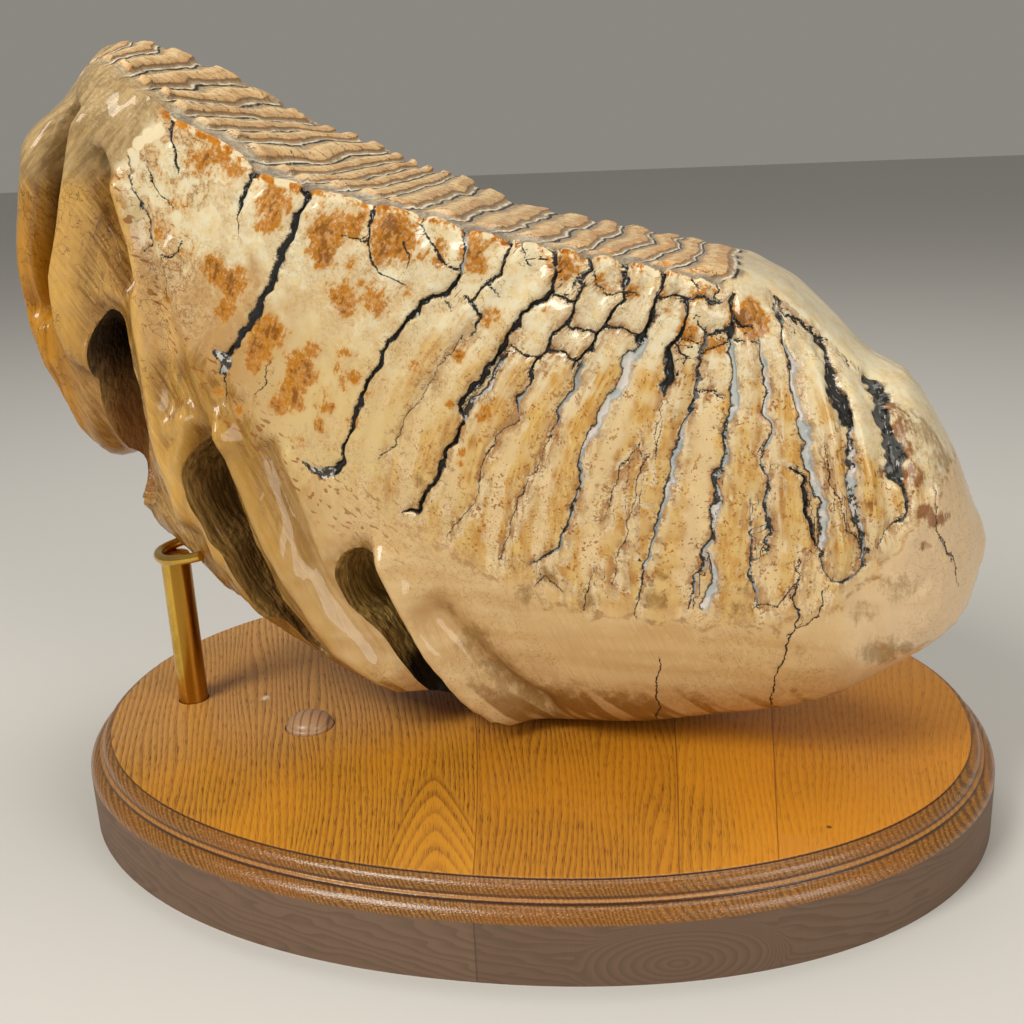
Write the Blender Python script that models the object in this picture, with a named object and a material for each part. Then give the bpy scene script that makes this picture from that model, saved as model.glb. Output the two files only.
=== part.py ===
"""Fossil mammoth molar on its display stand.

The tooth rests on an oval oak board with a moulded edge. A brass post with a brazed cradle holds up
its root end, and a wooden plug fills a spare hole in the board. Metres, +Z up. X runs along the
board, -Y is the viewer's side, and the origin is the middle of the board's underside.
"""

import math

import bmesh
import bpy
from mathutils import Matrix, Vector

MM = 0.001
GAP = 0.3

# Oak board (mm)
BOARD_LENGTH = 306.0
BOARD_DEPTH = 228.0
BOARD_THICKNESS = 28.0
BOARD_SQUARENESS = 2.12
BOARD_SIDES = 76
WALL_HEIGHT = 18.0
# Moulded edge, from the wall up to the flat top: distance in from the wall, height.
MOULDING = [
    (0.6, 20.2),
    (2.0, 21.8),
    (3.3, 22.3),
    (3.5, 23.2),
    (4.4, 23.4),
    (4.8, 25.3),
    (5.9, 26.9),
    (7.4, 27.3),
    (7.7, 28.0),
]

# Brass support and wooden plug (mm)
POST_RADIUS = 5.0
POST_X = -118.5
POST_Y = -13.5
POST_TOP = 83.0
POST_SOCKET = 12.0
# How far down the tooth is kept clear of the post.
POST_ROOM = 20.0
ROD_RADIUS = 1.7
# The cradle's bent rod in the tooth's frame: along, across, up.
CRADLE_PATH = [
    (-103.0, -17.0, 90.0),
    (-112.0, -17.5, 87.0),
    (-120.0, -21.0, 84.5),
    (-122.5, -28.0, 84.0),
    (-119.0, -36.0, 84.0),
    (-110.0, -40.5, 84.5),
    (-98.0, -41.0, 88.0),
]
PLUG_RADIUS = 8.0
PLUG_X = -69.5
PLUG_Y = -29.0
PLUG_SOCKET = 5.0
PLUG_RISE = 1.4

# Molar (mm). It has its own frame: along the tooth, across it (the viewer's side is -), and up.
TOOTH_TURN = -7.0
TOOTH_PLACE = (1.5, -1.0, 0.0)
SKEW_SPAN = 80.0
SKEW_ENDS = 0.35
# The roots have steep sides, and the rest of the foot is rounder.
FOOT_SQUARENESS = [(-160.0, 4.0), (0.0, 4.2), (45.0, 2.8), (142.0, 2.4)]
# One row for each station along the tooth. Each lies in the upright plane along the tooth.
# crown along, crown up, plate foot along, up, lower edge along, up,
# half width near, far, skew, tilt, squareness of the crown's edge
STATIONS = [
    (-150.0, 236.0, -163.0, 212.0, -169.5, 190.0, 14.0, 18.0, -26.0, 16.0, 3.0),
    (-145.0, 242.0, -158.5, 206.0, -166.5, 171.0, 25.0, 32.0, -38.0, 22.0, 4.5),
    (-137.0, 246.0, -152.0, 200.0, -157.0, 148.0, 33.0, 38.0, -34.0, 16.0, 6.5),
    (-125.0, 245.0, -146.0, 190.0, -147.5, 130.0, 37.0, 40.0, -26.0, 11.0, 8.0),
    (-106.0, 235.0, -137.0, 176.0, -139.0, 114.0, 39.0, 41.0, -10.0, 6.0, 8.0),
    (-94.0, 228.0, -127.0, 165.0, -129.0, 115.0, 40.0, 41.0, 2.0, 0.0, 8.0),
    (-82.0, 221.0, -117.0, 156.0, -122.0, 92.0, 40.0, 41.0, 9.0, -3.0, 8.0),
    (-67.0, 215.0, -106.0, 146.0, -107.0, 78.0, 40.0, 41.0, 13.0, -2.0, 8.0),
    (-57.0, 209.0, -98.0, 138.0, -94.0, 67.0, 41.0, 42.0, 11.0, 2.0, 8.0),
    (-43.0, 204.0, -86.0, 132.0, -78.0, 56.0, 42.0, 42.0, 3.0, 2.0, 8.0),
    (-27.0, 200.0, -68.0, 121.0, -58.0, 44.0, 43.0, 43.0, -4.0, 3.0, 8.0),
    (-15.0, 196.0, -57.0, 115.0, -38.0, 37.0, 43.0, 43.0, -10.0, 2.0, 8.0),
    (-4.0, 192.0, -48.0, 110.0, -23.0, 39.0, 44.0, 43.0, -8.0, 0.0, 8.0),
    (9.0, 189.0, -37.0, 104.0, -10.0, 32.0, 44.0, 43.0, -8.0, 0.0, 8.0),
    (23.0, 186.0, -24.0, 100.0, 2.0, 28.5, 44.0, 43.0, -8.0, 0.0, 8.0),
    (43.0, 182.0, 4.0, 93.0, 22.0, 28.5, 44.0, 43.0, -8.0, 0.0, 8.0),
    (60.0, 179.0, 33.0, 87.0, 44.0, 30.0, 44.0, 43.0, -6.0, -1.0, 7.0),
    (72.0, 177.0, 66.0, 84.0, 63.0, 34.0, 43.0, 42.0, -4.0, -1.0, 5.0),
    (84.0, 171.0, 94.0, 86.0, 84.0, 39.0, 42.0, 41.0, -2.0, 0.0, 3.6),
    (95.0, 161.0, 108.0, 91.0, 101.0, 45.0, 40.0, 39.0, 0.0, 0.0, 3.0),
    (107.0, 150.0, 118.0, 95.0, 115.0, 54.0, 36.0, 35.0, 0.0, 0.0, 2.6),
    (119.0, 143.0, 129.0, 96.0, 128.0, 63.0, 29.0, 28.0, 0.0, 0.0, 2.3),
    (132.0, 122.0, 137.0, 94.0, 137.0, 73.0, 18.0, 17.0, 0.0, 0.0, 2.2),
    (139.0, 105.0, 141.0, 92.0, 140.5, 82.0, 9.0, 9.0, 0.0, 0.0, 2.1),
]
LEFT_POLE = (-167.0, 0.0, 208.0)
RIGHT_POLE = (142.0, 0.0, 93.0)
# Where each groove between two plates meets the middle of the chewing surface.
GROOVES = [
    -139.0, -131.0, -122.0, -112.0, -102.0, -93.0, -84.0, -75.0, -66.0, -57.0,
    -50.0, -43.0, -35.0, -27.0, -15.0, -4.0, 9.0, 23.0, 33.0, 43.0,
    52.0, 60.0, 71.0, 79.0, 86.0, 95.0, 106.0, 118.0,
]
# Grooves that have split open on the sides, with their extra depth.
SPLITS = {-43.0: 2.6, -4.0: 1.6, 23.0: 2.2, 52.0: 2.0, 71.0: 1.4, 86.0: 1.4, 95.0: 1.6, 106.0: 1.8}
LEFT_RINGS = [-150.0, -147.0, -144.0]
RIGHT_RINGS = [124.0, 129.5, 134.0, 138.5]
# Height of a ridge on the chewing surface, and the stations over which the first ones rise.
CHEWING_RIDGE = 1.2
RIDGES_START = -165.0
RIDGES_FULL = -145.0
# Height of the plates' flutes down the sides, along the tooth.
FLUTE_AT = [
    (-170.0, 0.0),
    (-60.0, 0.25),
    (0.0, 0.4),
    (40.0, 0.8),
    (75.0, 1.0),
    (110.0, 0.9),
    (122.0, 0.0),
]
# Points of one section: half of the chewing surface, the near side, half of the foot, the far side.
TOP_POINTS = 6
NEAR_POINTS = 15
FOOT_POINTS = 4
FAR_POINTS = 10
ARC_STEPS = 60
# How much of a split and of a fold the far side shows.
FAR_SPLIT = 0.5
FAR_FOLD = 0.6
# Folds of the roots on the side faces: height outward, half width, then points (along, up) of the line.
FOLDS = [
    (6.5, 7.0, [(-122.0, 222.0), (-126.0, 195.0), (-129.0, 176.0), (-134.0, 152.0)]),
    (-8.0, 5.0, [(-134.0, 222.0), (-139.0, 205.0), (-143.0, 188.0), (-146.0, 170.0)]),
    (6.0, 6.0, [(-116.0, 186.0), (-113.0, 155.0), (-107.0, 103.0), (-97.0, 89.0), (-76.0, 69.0)]),
    (5.0, 7.0, [(-84.0, 128.0), (-74.0, 101.0), (-61.0, 77.0), (-50.0, 59.0), (-28.0, 46.0)]),
    (4.5, 6.0, [(-34.0, 92.0), (-25.0, 74.0), (-13.0, 50.0), (0.0, 38.0)]),
    (-4.5, 7.0, [(-12.0, 64.0), (0.0, 54.0), (12.0, 44.0)]),
    (3.0, 8.0, [(112.0, 72.0), (122.0, 73.0), (130.0, 78.0)]),
]
# Hollows in the roots: upper end, lower end (along, up), half width, how far across they reach.
HOLLOWS = [
    ((-122.0, 171.0), (-124.0, 100.0), 10.5, -14.0),
    ((-95.0, 130.0), (-65.0, 57.0), 8.0, -14.0),
    ((-45.0, 97.0), (-12.0, 40.0), 9.5, -14.0),
]
HOLLOW_MOUTH = -62.0

CUTTERS = "molar_cutters"
PARTS = "mammoth_molar_on_stand"


def clear_scene():
    for obj in list(bpy.data.objects):
        bpy.data.objects.remove(obj)


def new_collection(name):
    collection = bpy.data.collections.new(name)
    bpy.context.scene.collection.children.link(collection)
    return collection


def material(name, colour, roughness, metallic=0.0):
    made = bpy.data.materials.new(name)
    made.use_nodes = True
    shader = made.node_tree.nodes["Principled BSDF"]
    shader.inputs["Base Color"].default_value = (*colour, 1.0)
    shader.inputs["Roughness"].default_value = roughness
    shader.inputs["Metallic"].default_value = metallic
    made.diffuse_color = (*colour, 1.0)
    return made


def finish(bm, name, collection, finish_material=None, smooth_angle=40.0):
    """Turn the working mesh, in mm, into a named object in metres."""
    bmesh.ops.scale(bm, vec=Vector((MM, MM, MM)), verts=bm.verts)
    bmesh.ops.recalc_face_normals(bm, faces=bm.faces)
    mesh = bpy.data.meshes.new(name)
    for face in bm.faces:
        face.smooth = True
    for edge in bm.edges:
        edge.smooth = len(edge.link_faces) < 2 or edge.calc_face_angle() < math.radians(smooth_angle)
    bm.to_mesh(mesh)
    bm.free()
    obj = bpy.data.objects.new(name, mesh)
    collection.objects.link(obj)
    if finish_material:
        mesh.materials.append(finish_material)
    return obj


def as_cutter(obj):
    obj.hide_render = True
    obj.display_type = "WIRE"
    return obj


def boolean(obj, other, operation):
    made = obj.modifiers.new(f"{operation.lower()} {other.name}", "BOOLEAN")
    made.operation = operation
    made.solver = "EXACT"
    made.object = other


def tooth_matrix():
    return Matrix.Translation(TOOTH_PLACE) @ Matrix.Rotation(math.radians(TOOTH_TURN), 4, "Z")


# ---------------------------------------------------------------- board and plug


def build_board(collection, finish_material):
    """An oval slab. Its edge is drawn up ring by ring along the moulding."""
    bm = bmesh.new()
    bmesh.ops.create_circle(bm, cap_ends=True, segments=BOARD_SIDES, radius=1.0)
    half = Vector((BOARD_LENGTH / 2, BOARD_DEPTH / 2, 0.0))
    power = 2.0 / BOARD_SQUARENESS
    for vert in bm.verts:
        vert.co.x = half.x * math.copysign(abs(vert.co.x) ** power, vert.co.x)
        vert.co.y = half.y * math.copysign(abs(vert.co.y) ** power, vert.co.y)
    top = list(bm.faces)
    inset = 0.0
    height = 0.0
    for next_inset, next_height in [(0.0, WALL_HEIGHT), *MOULDING]:
        made = bmesh.ops.extrude_face_region(bm, geom=top)["geom"]
        if height:
            bmesh.ops.delete(bm, geom=top, context="FACES_ONLY")
        top = [item for item in made if isinstance(item, bmesh.types.BMFace)]
        verts = [item for item in made if isinstance(item, bmesh.types.BMVert)]
        shrink_x = (half.x - next_inset) / (half.x - inset)
        shrink_y = (half.y - next_inset) / (half.y - inset)
        bmesh.ops.scale(bm, vec=Vector((shrink_x, shrink_y, 1.0)), verts=verts)
        bmesh.ops.translate(bm, vec=Vector((0.0, 0.0, next_height - height)), verts=verts)
        inset = next_inset
        height = next_height
    return finish(bm, "base_board", collection, finish_material, smooth_angle=30.0)


def cylinder(radius, bottom, top, x, y, segments, rim=0.0, rim_steps=3):
    """An upright round bar in mm, with an optional rounded rim on its upper end."""
    bm = bmesh.new()
    place = Matrix.Translation((x, y, (bottom + top) / 2))
    bmesh.ops.create_cone(
        bm,
        cap_ends=True,
        segments=segments,
        radius1=radius,
        radius2=radius,
        depth=top - bottom,
        matrix=place,
    )
    if rim:
        middle = (bottom + top) / 2
        edges = [edge for edge in bm.edges if min(vert.co.z for vert in edge.verts) > middle]
        bmesh.ops.bevel(
            bm,
            geom=edges,
            offset=rim,
            offset_type="OFFSET",
            segments=rim_steps,
            profile=0.5,
            affect="EDGES",
            material=-1,
        )
    return bm


def build_sockets(board, cutters):
    """The blind holes for the post and the plug."""
    post_hole = cylinder(
        POST_RADIUS + GAP,
        BOARD_THICKNESS - POST_SOCKET,
        BOARD_THICKNESS + POST_SOCKET,
        POST_X,
        POST_Y,
        32,
    )
    plug_hole = cylinder(
        PLUG_RADIUS + GAP,
        BOARD_THICKNESS - PLUG_SOCKET,
        BOARD_THICKNESS + PLUG_SOCKET,
        PLUG_X,
        PLUG_Y,
        40,
    )
    for name, bm in (("post_hole", post_hole), ("plug_hole", plug_hole)):
        boolean(board, as_cutter(finish(bm, name, cutters)), "DIFFERENCE")


def build_plug(collection, finish_material):
    bottom = BOARD_THICKNESS - PLUG_SOCKET + GAP
    bm = cylinder(PLUG_RADIUS, bottom, BOARD_THICKNESS + PLUG_RISE, PLUG_X, PLUG_Y, 40, rim=1.2)
    return finish(bm, "hole_plug", collection, finish_material)


# ---------------------------------------------------------------- brass support


def cradle_rod(name, radius, steps, collection):
    """The bent rod: a round-bevelled curve made a mesh, with domed ends."""
    curve = bpy.data.curves.new(name, "CURVE")
    curve.dimensions = "3D"
    curve.resolution_u = steps
    curve.bevel_depth = radius * MM
    curve.bevel_resolution = 2
    curve.use_fill_caps = True
    spline = curve.splines.new("NURBS")
    spline.points.add(len(CRADLE_PATH) - 1)
    turn = tooth_matrix()
    for point, place in zip(spline.points, CRADLE_PATH):
        point.co = (*(turn @ Vector(place) * MM), 1.0)
    spline.use_endpoint_u = True
    spline.order_u = 4
    holder = bpy.data.objects.new(name + "_curve", curve)
    bpy.context.scene.collection.objects.link(holder)
    mesh = bpy.data.meshes.new_from_object(holder.evaluated_get(bpy.context.evaluated_depsgraph_get()))
    bpy.data.objects.remove(holder)
    bm = bmesh.new()
    bm.from_mesh(mesh)
    bpy.data.meshes.remove(mesh)
    bmesh.ops.remove_doubles(bm, verts=bm.verts, dist=1e-6)
    bmesh.ops.scale(bm, vec=Vector((1 / MM, 1 / MM, 1 / MM)), verts=bm.verts)
    return finish(bm, name, collection)


def build_support(collection, cutters, finish_material):
    bottom = BOARD_THICKNESS - POST_SOCKET + GAP
    bm = cylinder(POST_RADIUS, bottom, POST_TOP, POST_X, POST_Y, 32, rim=1.0, rim_steps=2)
    support = finish(bm, "brass_support", collection, finish_material)
    rod = as_cutter(cradle_rod("cradle_rod", ROD_RADIUS, 5, cutters))
    boolean(support, rod, "UNION")
    return support


# ---------------------------------------------------------------- molar


def row_at(table, key):
    """A smooth row between the rows of a table. The first column is the key."""
    keys = [row[0] for row in table]
    place = max(0, min(len(table) - 2, sum(1 for value in keys if value <= key) - 1))
    span = keys[place + 1] - keys[place]
    t = (key - keys[place]) / span
    before = max(place - 1, 0)
    after = min(place + 2, len(table) - 1)
    row = []
    for column in range(len(table[0])):
        start = table[place][column]
        end = table[place + 1][column]
        leave = (end - table[before][column]) / (keys[place + 1] - keys[before]) * span
        arrive = (table[after][column] - start) / (keys[after] - keys[place]) * span
        curve = (2 * start - 2 * end + leave + arrive) * t**3
        curve += (3 * end - 3 * start - 2 * leave - arrive) * t**2
        row.append(curve + leave * t + start)
    return row


def ease(value, start, end):
    t = max(0.0, min(1.0, (value - start) / (end - start)))
    return t * t * (3 - 2 * t)


def evenly_spaced(points, count):
    """This many points along a line of points, evenly spaced, without the last one."""
    lengths = [0.0]
    for start, end in zip(points, points[1:]):
        lengths.append(lengths[-1] + (end - start).length)
    spaced = []
    place = 0
    for step in range(count):
        target = lengths[-1] * step / count
        while lengths[place + 1] < target:
            place += 1
        part = (target - lengths[place]) / (lengths[place + 1] - lengths[place])
        spaced.append(points[place].lerp(points[place + 1], part))
    return spaced


def section_outline(near, far, half_height, crown_square, foot_square):
    """A section as points (across, height), from the middle of the chewing surface to the near side."""

    def corner(angle):
        cosine = math.cos(angle)
        sine = math.sin(angle)
        power = 2.0 / (crown_square if sine > 0 else foot_square)
        across = math.copysign(abs(cosine) ** power, cosine) * (far if cosine > 0 else near)
        return Vector((across, math.copysign(abs(sine) ** power, sine) * half_height))

    arcs = [
        (90.0, 135.0, TOP_POINTS),
        (135.0, 225.0, NEAR_POINTS),
        (225.0, 270.0, FOOT_POINTS),
        (270.0, 315.0, FOOT_POINTS),
        (315.0, 405.0, FAR_POINTS),
        (405.0, 450.0, TOP_POINTS),
    ]
    outline = []
    for start, end, count in arcs:
        turn = math.radians(end - start) / ARC_STEPS
        fine = [corner(math.radians(start) + turn * step) for step in range(ARC_STEPS + 1)]
        outline += evenly_spaced(fine, count)
    return outline


def line_distance(point, line):
    """Distance from a point to a line of points."""
    nearest = 1e9
    for start, end in zip(line, line[1:]):
        along = Vector(end) - Vector(start)
        part = max(0.0, min(1.0, (point - Vector(start)).dot(along) / along.length_squared))
        nearest = min(nearest, (point - Vector(start) - along * part).length)
    return nearest


def fold_height(along, up):
    point = Vector((along, up))
    total = 0.0
    for height, half_width, line in FOLDS:
        total += height * math.exp(-((line_distance(point, line) / half_width) ** 2))
    return total


def ring_stations():
    """(station, ridge, split) of each ring: +1 on the crest of a plate, -1 in a groove."""
    rings = [(station, 0.0, 0.0) for station in LEFT_RINGS]
    for place, groove in enumerate(GROOVES):
        rings.append((groove, -1.0, SPLITS.get(groove, 0.0)))
        if place + 1 < len(GROOVES):
            rings.append(((groove + GROOVES[place + 1]) / 2, 1.0, 0.0))
    return rings + [(station, 0.0, 0.0) for station in RIGHT_RINGS]


def ring_points(station, ridge, split):
    """The points of one ring of the molar, in the tooth's frame."""
    row = row_at(STATIONS, station)
    crown = Vector((row[0], row[1]))
    plate_foot = Vector((row[2], row[3]))
    edge = Vector((row[4], row[5]))
    near, far, skew, tilt, square = row[6:]
    upper = (crown - plate_foot).length
    lower = (plate_foot - edge).length
    foot_at = upper / (upper + lower)
    foot_square = row_at(FOOT_SQUARENESS, station)[1]
    outline = section_outline(near, far, (upper + lower) / 2, square, foot_square)
    flute = row_at(FLUTE_AT, station)[1]
    points = []
    for place, (across, height) in enumerate(outline):
        t = 0.5 - height / (upper + lower)
        # The station bends at the foot of the plates.
        weight_crown = (t - foot_at) * (t - 1.0) / foot_at
        weight_foot = t * (t - 1.0) / (foot_at * (foot_at - 1.0))
        weight_edge = t * (t - foot_at) / (1.0 - foot_at)
        spot = crown * weight_crown + plate_foot * weight_foot + edge * weight_edge
        lean = 1.0 - ease(t, 0.0, SKEW_ENDS)
        spot += Vector((skew, tilt)) * (lean * across / SKEW_SPAN)
        next_point = outline[(place + 1) % len(outline)]
        last_point = outline[place - 1]
        outward = Vector((next_point.y - last_point.y, last_point.x - next_point.x)).normalized()
        on_side = ease(abs(outward.x), 0.3, 0.9)
        on_crown = ease(outward.y, 0.4, 0.9)
        on_plates = 1.0 - ease(t, foot_at - 0.08, foot_at + 0.04)
        relief = CHEWING_RIDGE * ridge * on_crown * ease(station, RIDGES_START, RIDGES_FULL)
        relief += flute * ridge * on_side * on_plates
        relief -= split * on_side * on_plates * (1.0 if across < 0 else FAR_SPLIT)
        relief += fold_height(*spot) * on_side * (1.0 if across < 0 else FAR_FOLD)
        lift = (crown - plate_foot).normalized()
        spot += lift * outward.y * relief
        points.append(Vector((spot.x, across + outward.x * relief, spot.y)))
    return points


def build_molar(collection, cutters, finish_material):
    """A ball pulled onto the sections of the tooth, with its poles at the two ends."""
    rings = [ring_points(*ring) for ring in ring_stations()]
    loop = len(rings[0])
    bm = bmesh.new()
    bmesh.ops.create_uvsphere(bm, u_segments=loop, v_segments=len(rings) + 1, radius=1.0)
    for vert in bm.verts:
        ring = round(math.acos(max(-1.0, min(1.0, vert.co.z))) / math.pi * (len(rings) + 1))
        turn = math.atan2(vert.co.y, vert.co.x) / math.tau
        if ring == 0:
            vert.co = LEFT_POLE
        elif ring == len(rings) + 1:
            vert.co = RIGHT_POLE
        else:
            vert.co = rings[ring - 1][round(turn * loop) % loop]
    lowest = min(vert.co.z for vert in bm.verts)
    bmesh.ops.translate(bm, vec=Vector((0.0, 0.0, BOARD_THICKNESS + GAP - lowest)), verts=bm.verts)
    bmesh.ops.transform(bm, matrix=tooth_matrix(), verts=bm.verts)
    molar = finish(bm, "molar", collection, finish_material, smooth_angle=50.0)
    for place, hollow in enumerate(HOLLOWS):
        boolean(molar, build_hollow(place, hollow, cutters), "DIFFERENCE")
    clearance = as_cutter(cradle_rod("cradle_clearance", ROD_RADIUS + GAP, 4, cutters))
    boolean(molar, clearance, "DIFFERENCE")
    post_room = cylinder(POST_RADIUS + GAP, POST_TOP - POST_ROOM, POST_TOP + GAP, POST_X, POST_Y, 24)
    boolean(molar, as_cutter(finish(post_room, "post_clearance", cutters)), "DIFFERENCE")
    return molar


def build_hollow(place, hollow, cutters):
    """A stretched ball that opens one root hollow from the near side."""
    (top_along, top_up), (low_along, low_up), half_width, reach = hollow
    bm = bmesh.new()
    bmesh.ops.create_uvsphere(bm, u_segments=16, v_segments=12, radius=1.0)
    line = Vector((top_along - low_along, 0.0, top_up - low_up))
    depth = (reach - HOLLOW_MOUTH) / 2
    middle = Vector(((top_along + low_along) / 2, HOLLOW_MOUTH + depth, (top_up + low_up) / 2))
    bmesh.ops.scale(bm, vec=Vector((half_width, depth, line.length / 2)), verts=bm.verts)
    turn = Matrix.Rotation(math.atan2(line.x, line.z), 4, "Y")
    bmesh.ops.transform(bm, matrix=tooth_matrix() @ Matrix.Translation(middle) @ turn, verts=bm.verts)
    return as_cutter(finish(bm, f"root_hollow_{place + 1}", cutters))


def main():
    clear_scene()
    parts = new_collection(PARTS)
    cutters = new_collection(CUTTERS)
    ivory = material("fossil_tooth", (0.68, 0.52, 0.28), 0.25)
    oak = material("oak_board", (0.36, 0.17, 0.05), 0.4)
    plug_wood = material("plug_wood", (0.3, 0.18, 0.09), 0.45)
    brass = material("brass", (0.62, 0.38, 0.08), 0.25, metallic=1.0)
    board = build_board(parts, oak)
    build_sockets(board, cutters)
    build_plug(parts, plug_wood)
    build_support(parts, cutters, brass)
    build_molar(parts, cutters, ivory)


main()
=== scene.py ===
"""The finished look of a fossil mammoth molar on its oak stand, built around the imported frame.

The file is laid out as an add-on and is run as a script. One operator makes the tooth, one the oak
board, one the brass support, one the plug and one the stage. Lengths in the tables are millimetres,
and the properties are metres.
"""

import math

import bmesh
import bpy
import numpy as np
from bpy.props import FloatProperty, FloatVectorProperty, PointerProperty
from mathutils import Matrix, Vector, kdtree, noise


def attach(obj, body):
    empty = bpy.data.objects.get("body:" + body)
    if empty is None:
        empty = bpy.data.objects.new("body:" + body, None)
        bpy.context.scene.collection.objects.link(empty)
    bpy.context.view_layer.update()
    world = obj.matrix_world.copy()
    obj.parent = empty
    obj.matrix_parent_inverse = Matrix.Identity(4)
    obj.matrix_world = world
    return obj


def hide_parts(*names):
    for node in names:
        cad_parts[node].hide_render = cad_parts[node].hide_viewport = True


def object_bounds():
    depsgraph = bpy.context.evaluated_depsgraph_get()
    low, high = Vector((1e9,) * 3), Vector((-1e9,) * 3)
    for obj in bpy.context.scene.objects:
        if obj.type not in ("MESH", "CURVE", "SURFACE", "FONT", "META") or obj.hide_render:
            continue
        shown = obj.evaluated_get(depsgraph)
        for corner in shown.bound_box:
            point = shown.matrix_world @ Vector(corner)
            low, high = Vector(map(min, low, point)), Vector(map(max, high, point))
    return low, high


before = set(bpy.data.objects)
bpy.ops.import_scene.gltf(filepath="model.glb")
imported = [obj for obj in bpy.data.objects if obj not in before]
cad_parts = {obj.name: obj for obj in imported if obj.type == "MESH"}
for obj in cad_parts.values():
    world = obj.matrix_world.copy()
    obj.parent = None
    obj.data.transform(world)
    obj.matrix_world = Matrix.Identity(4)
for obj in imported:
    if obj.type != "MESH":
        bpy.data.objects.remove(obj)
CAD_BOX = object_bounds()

bl_info = {
    "name": "Mammoth Molar on a Stand",
    "version": (1, 0, 0),
    "blender": (4, 5, 0),
    "location": "View3D > Sidebar > Molar",
    "description": "Builds the finished tooth, its oak board, its brass support and a plain stage",
    "category": "Add Mesh",
}

MM = 0.001
BODY = "root"

# The tooth's own frame: along it, across it (the viewer's side is -) and up.
TOOTH_TURN = -7.0
TOOTH_PLACE = (1.5, -1.0, 0.0)
SKEW_SPAN = 80.0
SKEW_ENDS = 0.35
FOOT_SQUARENESS = [(-160.0, 4.0), (0.0, 4.2), (45.0, 2.8), (142.0, 2.4)]
# crown along, crown up, plate foot along, up, lower edge along, up,
# half width near, far, skew, tilt, squareness of the crown's edge
STATIONS = [
    (-150, 236, -163, 212, -169.5, 190, 14, 18, -26, 16, 3),
    (-145, 242, -158.5, 206, -166.5, 171, 25, 32, -38, 22, 4.5),
    (-137, 246, -152, 200, -157, 148, 33, 38, -34, 16, 6.5),
    (-125, 245, -146, 190, -147.5, 130, 37, 40, -26, 11, 8),
    (-106, 235, -137, 176, -139, 114, 39, 41, -10, 6, 8),
    (-94, 228, -127, 165, -129, 115, 40, 41, 2, 0, 8),
    (-82, 221, -117, 156, -122, 92, 40, 41, 9, -3, 8),
    (-67, 215, -106, 146, -107, 78, 40, 41, 13, -2, 8),
    (-57, 209, -98, 138, -94, 67, 41, 42, 11, 2, 8),
    (-43, 204, -86, 132, -78, 56, 42, 42, 3, 2, 8),
    (-27, 200, -68, 121, -58, 44, 43, 43, -4, 3, 8),
    (-15, 196, -57, 115, -38, 37, 43, 43, -10, 2, 8),
    (-4, 192, -48, 110, -23, 39, 44, 43, -8, 0, 8),
    (9, 189, -37, 104, -10, 32, 44, 43, -8, 0, 8),
    (23, 186, -24, 100, 2, 28.5, 44, 43, -8, 0, 8),
    (43, 182, 4, 93, 22, 28.5, 44, 43, -8, 0, 8),
    (60, 179, 33, 87, 44, 30, 44, 43, -6, -1, 7),
    (72, 177, 66, 84, 63, 34, 43, 42, -4, -1, 5),
    (84, 171, 94, 86, 84, 39, 42, 41, -2, 0, 3.6),
    (95, 161, 108, 91, 101, 45, 40, 39, 0, 0, 3),
    (107, 150, 118, 95, 115, 54, 36, 35, 0, 0, 2.6),
    (119, 143, 129, 96, 128, 63, 29, 28, 0, 0, 2.3),
    (132, 122, 137, 94, 137, 73, 18, 17, 0, 0, 2.2),
    (139, 105, 141, 92, 140.5, 82, 9, 9, 0, 0, 2.1),
]
LEFT_POLE = (-167.0, 0.0, 208.0)
RIGHT_POLE = (142.0, 0.0, 93.0)
LEFT_CAP_RINGS = 14
RIGHT_CAP_RINGS = 8
RING_STEP = 0.9
ARC_STEPS = 60
# Points of one section: half of the chewing surface, near side, half of the foot, far side.
TOP_POINTS = 26
NEAR_POINTS = 72
FOOT_POINTS = 7
FAR_POINTS = 34

# Where each groove between two plates meets the middle of the chewing surface.
GROOVES = [
    -139, -131, -122, -112, -102, -93, -84, -75, -66, -57, -50, -43, -35, -27, -15, -4, 9, 23, 33,
    43, 52, 60, 71, 79, 86, 95, 106, 118,
]
# Height of the plates' flutes down the sides, along the tooth.
FLUTE_AT = [
    (-170, 0), (-60, 0.25), (0, 0.4), (40, 0.7), (75, 0.9), (110, 0.8), (122, 0),
]
# How much squarer the crown's edge is than the solid's, along the tooth.
EDGE_AT = [(-118.0, 0.0), (-98.0, 0.9), (50.0, 0.9), (76.0, 0.0)]
# How much of the plates' relief is left on the chewing surface, along the tooth.
WEAR_AT = [
    (-165, 0), (-145, 0.2), (-130, 0.4), (-116, 1), (-40, 0.85), (0, 0.6), (40, 0.45), (62, 0.3),
    (76, 0),
]
# Where the main cracks cross the crown's edge, it dips.
NOTCH_WIDTH = 2.2
NOTCH_DEPTH = 2.2
RIM_NOTCHES = [-91.5, -65.5, -48.5, -29.0, -13.8, -1.0, 11.5, 23.5, 33.5, 44.0, 53.0, 60.5, 68.0]
# How far in from the crown's edge the ridges end, along the tooth.
RIDGE_ENDS = [(-125.0, 10.0), (-100.0, 9.0), (-75.0, 8.0), (-50.0, 6.5), (0.0, 6.0), (60.0, 5.0)]
# The chewing surface ends at this plate. The ones after it have not come into wear.
LAST_WORN = 21.8
# The broken end, where grey cement shows: a point (along, up) on its edge, and the way towards it.
CEMENT_POINT = (-113.0, 207.0)
CEMENT_WAY = (-0.688, 0.725)
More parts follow.
